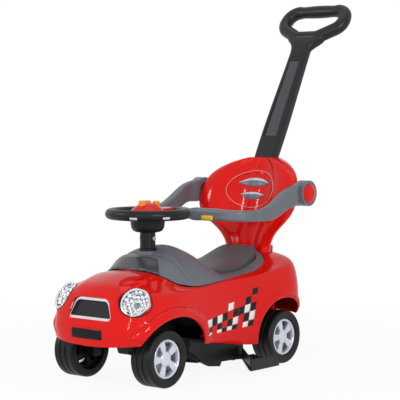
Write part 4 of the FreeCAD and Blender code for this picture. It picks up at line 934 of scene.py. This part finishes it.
@dataclass
class ArchBand:
    """The raised band moulded round a wheel arch."""

    name: str
    centre: tuple[float, float]
    reach: tuple[float, float]
    sweep: tuple[float, float]
    width: float
    height: float
    profile: tuple[tuple[float, float], ...] = (
        (0.0, 0.0), (0.03, 0.4), (0.1, 0.74), (0.22, 0.92), (0.42, 1.0), (0.62, 0.97), (0.8, 0.72),
        (0.92, 0.3), (1.0, 0.02))
    fade: float = 14.0
    steps: int = 72
    thickness: float = 0.3

    def build(self, side: Side) -> None:
        """Lay one side's band along the arch.

        Args:
            side: Which side of the car.
        """
        surface = Surface("body_shell")
        low, high = self.sweep

        def spot(across: float, up: float) -> Optional[Vector]:
            """A point of the band.

            Args:
                across: Share of the way along the arch.
                up: Share of the way across the band's profile.

            Returns:
                The point on the body.
            """
            share, rise = self.profile[round(up * (len(self.profile) - 1))]
            degrees = low + (high - low) * across
            away = self.width * share
            turn = math.radians(degrees)
            x = self.centre[0] + (self.reach[0] + away) * math.cos(turn)
            z = self.centre[1] + (self.reach[1] + away) * math.sin(turn)
            ends = min((degrees - low) / self.fade, (high - degrees) / self.fade, 1.0)
            lift = self.height * rise * ends * ends * (3 - 2 * ends)
            return surface.from_side(side, x, z, lift)

        build = bmesh.new()
        laid_grid(build, len(self.profile) - 1, self.steps, spot)
        name = "%s_arch_band_%s" % (self.name, side.name.lower())
        sheet(name, build, [RED], self.thickness)


ARCH_BANDS = (
    ArchBand("front", (310.4, 79.0), (103.0, 73.0), (20.0, 166.0), 22.0, 3.6),
    ArchBand("rear", (-74.6, 74.0), (92.0, 85.0), (22.0, 150.0), 15.0, 1.8),
)


@dataclass
class Windscreen:
    """The smoked screen on the front of the cowl."""

    half_foot: float = 78.0
    half_top: float = 54.0
    foot: float = 243.5
    foot_drop: float = 8.0
    top: float = 273.0
    top_drop: float = 5.5
    lift: float = 0.35
    thickness: float = 0.5
    rows: int = 14
    columns: int = 48

    def build(self) -> None:
        """Lay the screen on the cowl."""
        surface = Surface("cockpit_trim")
        build = bmesh.new()

        def spot(across: float, up: float) -> Optional[Vector]:
            """A point of the screen.

            Args:
                across: Share across, 0 to 1.
                up: Share upwards, 0 to 1.

            Returns:
                The point on the cowl.
            """
            side = 2 * across - 1
            foot = self.foot - self.foot_drop * side * side
            top = self.top - self.top_drop * side * side
            half = self.half_foot + (self.half_top - self.half_foot) * up
            return surface.from_front(side * half, foot + (top - foot) * up, self.lift)

        laid_grid(build, self.rows, self.columns, spot)
        sheet("windscreen", build, [SMOKED], self.thickness)


@dataclass
class RecessBead:
    """The fine raised line round the backrest's oval; its pale colour is a painted highlight on the line."""

    centre: float = 408.0
    half_width: float = 71.0
    half_height: float = 44.5
    radius: float = 0.8
    lift: float = 0.2
    steps: int = 120
    sides: int = 10

    def build(self) -> None:
        """Run the bead round the oval."""
        surface = Surface("backrest")
        path = [surface.from_front(self.half_width * math.cos(turn),
                                   self.centre + self.half_height * math.sin(turn), self.lift)
                for turn in turns(self.steps)]
        build = bmesh.new()
        bead(build, path, self.radius * MM, self.sides)
        fit(finished("backrest_bead", build, [PALE_LINE]), "car_body")


@dataclass
class VentPads:
    """Crowned grey pads in the backrest's two openings, with a painted highlight in bright silver on the
    upper slope.
    """

    lenses: tuple[tuple[float, float, float, float], ...] = (
        (422.0, 46.0, 13.6, 8.4), (394.0, 36.0, 7.2, 11.8))
    margin: float = 0.97
    crest: float = 0.68
    crown: float = 2.0
    lift: float = 0.3
    thickness: float = 0.4
    rows: tuple[int, int] = (10, 6)
    columns: int = 32

    def edge(self, y: float, half: float, sag: float) -> float:
        """Height of a round edge over its chord."""
        radius = (half * half + sag * sag) / (2 * sag)
        return math.sqrt(radius * radius - y * y) - (radius - sag)

    def build(self) -> None:
        """Lay both pads."""
        surface = Surface("backrest_vents")
        build = bmesh.new()
        for z, half, above, below in self.lenses:

            def spot(across: float, up: float) -> Optional[Vector]:
                """A point of one pad.

                Args:
                    across: Share across, 0 to 1.
                    up: Share upwards, 0 to 1.

                Returns:
                    The point in front of the opening.
                """
                side = 2 * across - 1
                y = side * half * self.margin
                top = self.edge(y, half, above) * self.margin
                foot = -self.edge(y, half, below) * self.margin
                rise = up / self.crest if up < self.crest else (1 - up) / (1 - self.crest)
                swell = self.crown * rise * (2 - rise) * (1 - side * side)
                return surface.from_front(y, z + foot + (top - foot) * up, self.lift + swell)

            slope = 1 - self.crest
            laid_grid(build, self.rows[0], self.columns, lambda a, b: spot(a, b * self.crest))
            # painted highlight: the upper slope takes the bright silver finish
            laid_grid(build, self.rows[1], self.columns, lambda a, b: spot(a, self.crest + slope * b), 1)
        sheet("vent_pads", build, [GREY, HIGHLIGHT_SILVER], self.thickness)


@dataclass
class NoseCheek:
    """The nose's side wall carried back to the dash, with an upright rib."""

    x: tuple[float, float] = (209.5, 259.0)
    z: tuple[float, float] = (97.5, 178.0)
    y: float = 51.5
    rib: float = 1.6
    rib_waves: float = 3.0
    thickness: float = 2.0
    steps: int = 16

    def build(self, side: Side) -> None:
        """Make one side's wall.

        Args:
            side: Which side of the car.
        """

        def spot(across: float, up: float) -> Optional[Vector]:
            """A point of the wall."""
            out = self.y + self.rib * max(math.cos(self.rib_waves * math.pi * (across - 0.5)), 0.0)
            x = self.x[0] + (self.x[1] - self.x[0]) * across
            return point_mm(x, out * side.value, self.z[0] + (self.z[1] - self.z[0]) * up)

        build = bmesh.new()
        laid_grid(build, self.steps, self.steps, spot)
        sheet("nose_cheek_" + side.name.lower(), build, [BLACK], self.thickness)


@dataclass
class GripSleeve:
    """The barrel grip across the handle's loop, full in the middle and at the bends."""

    centre: tuple[float, float] = (-429.4, 854.9)
    outline: tuple[tuple[float, float], ...] = (
        (0.0, 72.5), (8.0, 71.0), (13.0, 66.5), (15.4, 62.5), (16.3, 58.7), (15.9, 55.0), (14.9, 48.0),
        (15.0, 40.0), (15.6, 28.0), (16.1, 14.0), (16.3, 0.0))
    sides: int = 48

    def build(self) -> None:
        """Turn the grip about its own line."""
        half = [(radius * MM, -station * MM) for radius, station in self.outline]
        profile = half + [(radius, -station) for radius, station in reversed(half[:-1])]
        x, z = self.centre
        place = Matrix.Translation(point_mm(x, 0, z)) @ Matrix.Rotation(math.radians(-90), 4, "X")
        build = bmesh.new()
        turned(build, profile, self.sides, place)
        fit(finished("grip_sleeve", build, [CHARCOAL]), "car_body")


@dataclass
class StemPanel:
    """The bare panel let into the front of the handle's stem."""

    foot: tuple[float, float] = (-173.9, 435.5)
    lean: float = 28.6
    start: float = 200.0
    low: float = 109.0
    high: float = 325.0
    half_low: float = 18.6
    half_high: float = 14.0
    lift: float = 0.25
    thickness: float = 0.5
    rows: int = 40
    columns: int = 12

    def along(self, station: float) -> Vector:
        """A point on the stem's own line, in millimetres from its foot."""
        turn = math.radians(self.lean)
        x, z = self.foot
        return point_mm(x - math.sin(turn) * station, 0, z + math.cos(turn) * station)

    def front(self) -> Vector:
        """The way the stem's front faces."""
        turn = math.radians(self.lean)
        return Vector((math.cos(turn), 0, math.sin(turn)))

    def build(self) -> None:
        """Lay the panel in the stem's recess."""
        front = self.front()
        surface = Surface("push_handle")
        build = bmesh.new()

        def spot(across: float, up: float) -> Optional[Vector]:
            """A point of the panel."""
            half = self.half_low + (self.half_high - self.half_low) * up
            line = self.along(self.low + (self.high - self.low) * up) + front * (self.start * MM)
            return surface.meet(line + point_mm(0, (2 * across - 1) * half, 0), -front, self.lift * MM)

        laid_grid(build, self.rows, self.columns, spot)
        sheet("stem_panel", build, [PANEL], self.thickness)


# Headlights

ROW_PITCH = 0.866


@dataclass
class LampOptics:
    """Pressed pillows and a bulb in each headlight bowl, and a dark bead round its bezel as painted shadow
    of the gap.
    """

    centre: tuple[float, float, float] = (398.4, 102.0, 186.0)
    aim: tuple[float, float, float] = (0.80, 0.25, 0.54)
    dish_radius: float = 26.0
    dish_floor: float = -9.5
    dish_rise: float = 9.0
    pitch: float = 9.6
    pillow: float = 6.2
    pillow_outline: tuple[tuple[float, float], ...] = (
        (0.0, 0.0), (1.0, 0.0), (0.8, 0.2), (0.35, 0.34), (0.0, 0.38))
    bulb: float = 6.5
    bulb_gap: float = 1.0
    bulb_outline: tuple[tuple[float, float], ...] = (
        (0.0, -11.8), (0.9, -11.6), (0.9, -7.0), (0.7, -4.0), (0.55, -1.0), (0.3, 1.2), (0.0, 2.0))
    bulb_sides: int = 20
    shadow_radius: float = 35.0
    shadow_bead: float = 1.0
    shadow_start: float = 60.0
    shadow_steps: int = 72
    shadow_sides: int = 8

    def gap_shadow(self, side: Side, place: Matrix) -> None:
        """Run a dark bead round the bezel where it meets the body, as painted shadow of the gap there.

        Args:
            side: Which side of the car.
            place: The lamp's middle and aim.
        """
        surface = Surface("body_shell")
        inward = place.to_3x3() @ Vector((0, 0, -1))
        r = self.shadow_radius
        spots = [surface.meet(place @ point_mm(r * math.cos(t), r * math.sin(t), self.shadow_start), inward)
                 for t in turns(self.shadow_steps)]
        build = bmesh.new()
        # painted shadow: a black bead laid along the gap between bezel and body
        bead(build, [spot for spot in spots if spot is not None], self.shadow_bead * MM, self.shadow_sides)
        fit(finished("lamp_seal_" + side.name.lower(), build, [BLACK]), "car_body")

    def pillow_shape(self) -> bpy.types.Object:
        """One six-sided pillow.

        Returns:
            The pillow, as a source for copies.
        """
        build = bmesh.new()
        r = self.pillow * MM
        turned(build, [(r * out, r * up) for out, up in self.pillow_outline], 6, Matrix())
        return finished("lamp_pillow_source", build, [LAMP_SILVER])

    def build(self, side: Side, tree: NodeTree, source: bpy.types.Object) -> None:
        """Fill one lamp.

        Args:
            side: Which side of the car.
            tree: The tree that sets the copies.
            source: The pillow that is copied.
        """
        x, y, z = self.centre
        aim = Vector((self.aim[0], self.aim[1] * side.value, self.aim[2])).normalized()
        turn = aim.to_track_quat("Z", "Y").to_matrix()
        place = Matrix.Translation(point_mm(x, y * side.value, z)) @ turn.to_4x4()
        spots = []
        aims = []
        reach = int(self.dish_radius / self.pitch) + 1
        lean = 2 * self.dish_rise / self.dish_radius ** 2
        for i in range(-reach, reach + 1):
            for j in range(-reach, reach + 1):
                across = self.pitch * (i + 0.5 * j)
                up = self.pitch * ROW_PITCH * j
                far = math.hypot(across, up)
                if self.bulb + self.bulb_gap < far < self.dish_radius:
                    height = self.dish_floor + self.dish_rise * (far / self.dish_radius) ** 2
                    spots.append(place @ point_mm(across, up, height))
                    aims.append(turn @ Vector((-lean * across, -lean * up, 1)).normalized())
        pillows = tree.apply(points_piece("lamp_optics_" + side.name.lower(), spots, aims),
                             {"Source": source, "Scale": 1.0, "Material": SHELF.get(LAMP_SILVER)})
        fit(pillows, "car_body")
        build = bmesh.new()
        outline = [(self.bulb * share * MM, height * MM) for share, height in self.bulb_outline]
        turned(build, outline, self.bulb_sides, place)
        fit(finished("lamp_bulb_" + side.name.lower(), build, [STEEL]), "car_body")
        self.gap_shadow(side, place)


# Fasteners

@dataclass
class ScrewHeads:
    """Cross-head screws where the car is put together."""

    radius: float = 4.6
    height: float = 2.2
    slot_length: float = 2.8
    slot_width: float = 0.7
    slot_depth: float = 0.6
    sunk: float = 0.2
    outline: tuple[tuple[float, float], ...] = ((1.0, 0.45), (0.85, 0.8), (0.5, 1.0), (0.0, 1.0))
    sides: int = 20
    probes: int = 8
    floor_spots: tuple[tuple[float, float], ...] = ((389.4, 34), (139.4, 95), (87.4, 95), (-135.6, 68))
    stem_stations: tuple[float, ...] = (12.0, 34.0)

    def head_shape(self) -> bpy.types.Object:
        """One screw head with a cross cut into it.

        Returns:
            The head, as a source for copies.
        """
        build = bmesh.new()
        r = self.radius * MM
        h = self.height * MM
        foot = -self.sunk * MM
        outline = [(0, foot), (r, foot)] + [(r * out, h * up) for out, up in self.outline]
        turned(build, outline, self.sides, Matrix())
        head = finished("screw_head_source", build, [STEEL])
        cross = bmesh.new()
        for length, width in ((self.slot_length, self.slot_width), (self.slot_width, self.slot_length)):
            size = Matrix.Diagonal(Vector((2 * length * MM, 2 * width * MM, 2 * self.slot_depth * h, 1)))
            bmesh.ops.create_cube(cross, size=1.0, matrix=Matrix.Translation(Vector((0, 0, h))) @ size)
        tool = finished("screw_cross_source", cross, [STEEL])
        bite = head.modifiers.new("cross", "BOOLEAN")
        bite.operation = "DIFFERENCE"
        bite.object = tool
        bite.use_self = True
        plain_mesh(head)
        bpy.data.objects.remove(tool)
        return head

    def seat(self, surface: Surface, centre: Vector, aim: Vector, ring: float) -> Optional[Vector]:
        """The place a head sits at, level with the surface round its hole.

        Args:
            surface: What carries the screw.
            centre: A point on the screw's line, outside.
            aim: Direction into the part.
            ring: Distance from the screw's line to measure at.

        Returns:
            The point, or None where nothing is met.
        """
        across = aim.orthogonal().normalized()
        other = aim.cross(across).normalized()
        found = []
        for turn in turns(self.probes):
            start = centre + (across * math.cos(turn) + other * math.sin(turn)) * (ring * MM)
            spot = surface.meet(start, aim)
            if spot is not None:
                found.append((spot - centre).dot(aim))
        return centre + aim * min(found) if found else None

    def build(self, tree: NodeTree) -> None:
        """Set the heads under the floor and on the back of the backrest.

        Args:
            tree: The tree that sets the copies.
        """
        head = self.head_shape()
        spots = []
        aims = []
        floor = Surface("chassis_pan")
        for x, y in self.floor_spots:
            for side in Side:
                below = point_mm(x, y * side.value, -OUTSIDE)
                spot = self.seat(floor, below, Vector((0, 0, 1)), self.radius)
                if spot is not None:
                    spots.append(spot)
                    aims.append(Vector((0, 0, -1)))
        stem = StemPanel()
        front = stem.front()
        back = Surface("backrest")
        for station in self.stem_stations:
            spot = self.seat(back, stem.along(station) - front * (stem.start * MM), front, self.radius)
            if spot is not None:
                spots.append(spot)
                aims.append(-front)
        heads = tree.apply(points_piece("screw_heads", spots, aims),
                           {"Source": head, "Scale": 1.0, "Material": SHELF.get(STEEL)})
        bpy.data.objects.remove(head)
        fit(heads, "car_body")


# Guard and steering dress

@dataclass
class LatchButton:
    """The ribbed yellow button under the guard's middle."""

    ribs: int = 5
    rib_height: float = 0.7
    rib_margin: float = 3.0
    rib_width: float = 0.42
    rib_length: float = 0.62
    edge: float = 1.4

    def build(self) -> None:
        """Make the button in its node's place."""
        low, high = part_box("guard_latch")
        build = bmesh.new()
        inset = self.rib_height * MM
        top = Vector((high.x - inset, high.y, high.z))
        size = top - low
        middle = (top + low) / 2
        block = Matrix.Translation(middle) @ Matrix.Diagonal((*size, 1))
        bmesh.ops.create_cube(build, size=1.0, matrix=block)
        button = soften(finished("latch_button", build, [YELLOW]), self.edge * MM)
        ribs = bmesh.new()
        ribs.from_mesh(button.data)
        margin = self.rib_margin * MM
        step = (high.y - low.y - 2 * margin) / self.ribs
        for k in range(self.ribs):
            y = low.y + margin + step * (k + 0.5)
            bar = Matrix.Diagonal((2 * inset, step * self.rib_width, size.z * self.rib_length, 1))
            place = Matrix.Translation(Vector((top.x, y, middle.z)))
            bmesh.ops.create_cube(ribs, size=1.0, matrix=place @ bar)
        ribs.to_mesh(button.data)
        ribs.free()
        fit(button, "guard_latch")
        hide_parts("guard_latch")


@dataclass
class GuardCollar:
    """Raised rings beside the joint in the guard's bar."""

    centre: tuple[float, float] = (109.4, 361.0)
    half: tuple[float, float] = (11.0, 14.0)
    corner: float = 7.0
    stations: tuple[float, ...] = (28.0, 33.0, 38.0)
    radius: float = 0.9
    steps: int = 48
    sides: int = 8

    def build(self) -> None:
        """Run the rings round the bar."""
        build = bmesh.new()
        x, z = self.centre
        wide, tall = self.half[0] - self.corner, self.half[1] - self.corner
        for y in self.stations:
            path = []
            for turn in turns(self.steps):
                across = math.copysign(wide, math.cos(turn)) + self.corner * math.cos(turn)
                up = math.copysign(tall, math.sin(turn)) + self.corner * math.sin(turn)
                path.append(point_mm(x + across, y, z + up))
            bead(build, path, self.radius * MM, self.sides, Vector((0, 1, 0)))
        fit(finished("guard_collar", build, [GREY]), "guard_arm_left")


@dataclass
class RimHighlightPads:
    """Two small silver pads on the front of the steering wheel's rim, painted highlights where the rim shows
    two bright reflections.
    """

    spots: tuple[tuple[float, float], ...] = ((36.0, 361.2), (88.5, 362.0))
    half_width: float = 8.5
    half_height: float = 2.6
    lift: float = 0.3
    thickness: float = 0.6
    start: float = 1.5
    rows: int = 4
    columns: int = 12

    def build(self) -> None:
        """Lay the pads on the rim."""
        low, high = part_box("steering_wheel")
        centre = (low + high) / 2
        surface = Surface("steering_wheel")
        build = bmesh.new()
        reach = (high.y - low.y) / 2
        for y, z in self.spots:
            middle = math.asin(y * MM / reach)
            swing = self.half_width * MM / reach

            def spot(across: float, up: float) -> Optional[Vector]:
                """A point of one pad."""
                turn = middle + (2 * across - 1) * swing
                out = Vector((math.cos(turn), math.sin(turn), 0))
                line = Vector((centre.x, 0, (z + (2 * up - 1) * self.half_height) * MM))
                return surface.meet(line + out * (reach * self.start), -out, self.lift * MM)

            laid_grid(build, self.rows, self.columns, spot)
        # painted highlight: bright silver pads on the rim
        sheet("rim_inlays", build, [HIGHLIGHT_SILVER], self.thickness, "steering")


# Studio

@dataclass(frozen=True)
class SoftBox:
    """A rectangular light."""

    name: str
    at: tuple[float, float, float]
    size: tuple[float, float]
    power: float

    def build(self, aim: Vector) -> None:
        """Set the light up.

        Args:
            aim: The place it points at.
        """
        data = bpy.data.lights.new(self.name, "AREA")
        data.shape = "RECTANGLE"
        data.size, data.size_y = self.size
        data.energy = self.power
        lamp = linked(self.name, data)
        lamp.location = self.at
        lamp.rotation_euler = (aim - Vector(self.at)).to_track_quat("-Z", "Y").to_euler()


SOFT_BOXES = (
    SoftBox("left_box", (2.3, -1.6, 1.5), (0.4, 0.8), 22.0),
    SoftBox("front_box", (1.5, 2.9, 1.2), (0.5, 0.6), 48.0),
    SoftBox("top_box", (-0.1, 0.1, 3.0), (1.6, 1.6), 9.0),
    SoftBox("strip_box", (3.0, 0.9, 0.9), (0.12, 0.8), 12.0),
)


@dataclass
class Studio:
    """Floor, lights and camera."""

    camera_at: tuple[float, float, float] = (2.7400, 2.2006, 0.5836)
    heading: float = 50.624
    pitch: float = 3.199
    lens: float = 133.2
    sensor: float = 36.0
    clip_end: float = 60.0
    lights_aim: tuple[float, float, float] = (0.0, 0.0, 0.3)
    ambient: float = 0.36
    floor_size: float = 14.0
    floor_glow: float = 0.92
    floor_near: float = 0.5
    floor_far: float = 1.3
    floor_drop: float = 0.0002
    floor_cloud: float = 3.0
    floor_levels: tuple[int, int] = (246, 252)
    floor_steps: int = 8

    def floor(self) -> None:
        """A pale floor that keeps the shadow."""
        graph = Graph.material("pale_floor")
        dull, bright = (linear((level, level, level)) for level in self.floor_levels)
        speckle = graph.blend(graph.noise(self.floor_cloud), dull, bright)
        matt = graph.add("ShaderNodeBsdfDiffuse", {}, {"Color": speckle})
        glow = graph.add("ShaderNodeEmission", {}, {"Color": (1, 1, 1, 1), "Strength": 1.0})
        far = graph.add("ShaderNodeVectorMath", {"operation": "LENGTH"}, {0: graph.place()}, "Value")
        fade = ((far - self.floor_near) * (1 / (self.floor_far - self.floor_near))).clamp()
        share = graph.seen() * (self.floor_glow + (1 - self.floor_glow) * fade)
        material = graph.close(graph.add("ShaderNodeMixShader", {}, {0: share, 1: matt, 2: glow}))
        build = bmesh.new()
        bmesh.ops.create_grid(build, x_segments=self.floor_steps, y_segments=self.floor_steps,
                              size=self.floor_size / 2)
        mesh = bpy.data.meshes.new("floor")
        build.to_mesh(mesh)
        build.free()
        mesh.materials.append(material)
        floor = linked("floor", mesh)
        floor.location.z = -self.floor_drop

    def world(self) -> None:
        """White for what is seen, soft grey for what lights."""
        graph = Graph(bpy.data.worlds.new("studio"))
        light, white = (graph.add("ShaderNodeBackground", {}, {"Color": (1, 1, 1, 1), "Strength": strength})
                        for strength in (self.ambient, 1.0))
        mixed = graph.add("ShaderNodeMixShader", {}, {0: graph.seen(), 1: light, 2: white})
        bpy.context.scene.world = graph.close(mixed, "ShaderNodeOutputWorld")

    def camera(self) -> None:
        """Set the camera at the photograph's place."""
        data = bpy.data.cameras.new("camera")
        data.sensor_width = self.sensor
        data.lens = self.lens
        data.clip_end = self.clip_end
        camera = linked("camera", data)
        camera.location = self.camera_at
        turn = math.radians(self.heading)
        drop = math.radians(self.pitch)
        look = Vector((-math.sin(turn) * math.cos(drop), -math.cos(turn) * math.cos(drop), -math.sin(drop)))
        camera.rotation_euler = look.to_track_quat("-Z", "Y").to_euler()
        bpy.context.scene.camera = camera

    def build(self) -> None:
        """Set up the whole studio."""
        self.floor()
        self.world()
        for box in SOFT_BOXES:
            box.build(Vector(self.lights_aim))
        self.camera()
        bpy.context.scene.view_settings.view_transform = "Standard"


def main() -> None:
    """Dress the car, then light it."""
    logging.basicConfig(level=logging.INFO, format="%(name)s: %(message)s")
    Studio().build()
    CarriedSolids().dress()
    scatter = scatter_tree("copies_on_points")
    NumberPlate().build()
    for side in Side:
        CheckerBand().build(side)
        for band in ARCH_BANDS:
            band.build(side)
        NoseCheek().build(side)
    Windscreen().build()
    RecessBead().build()
    VentPads().build()
    StemPanel().build()
    GripSleeve().build()
    optics = LampOptics()
    pillow = optics.pillow_shape()
    for side in Side:
        optics.build(side, scatter, pillow)
    bpy.data.objects.remove(pillow)
    ScrewHeads().build(scatter)
    LatchButton().build()
    GuardCollar().build()
    RimHighlightPads().build()


if __name__ == "__main__":
    main()
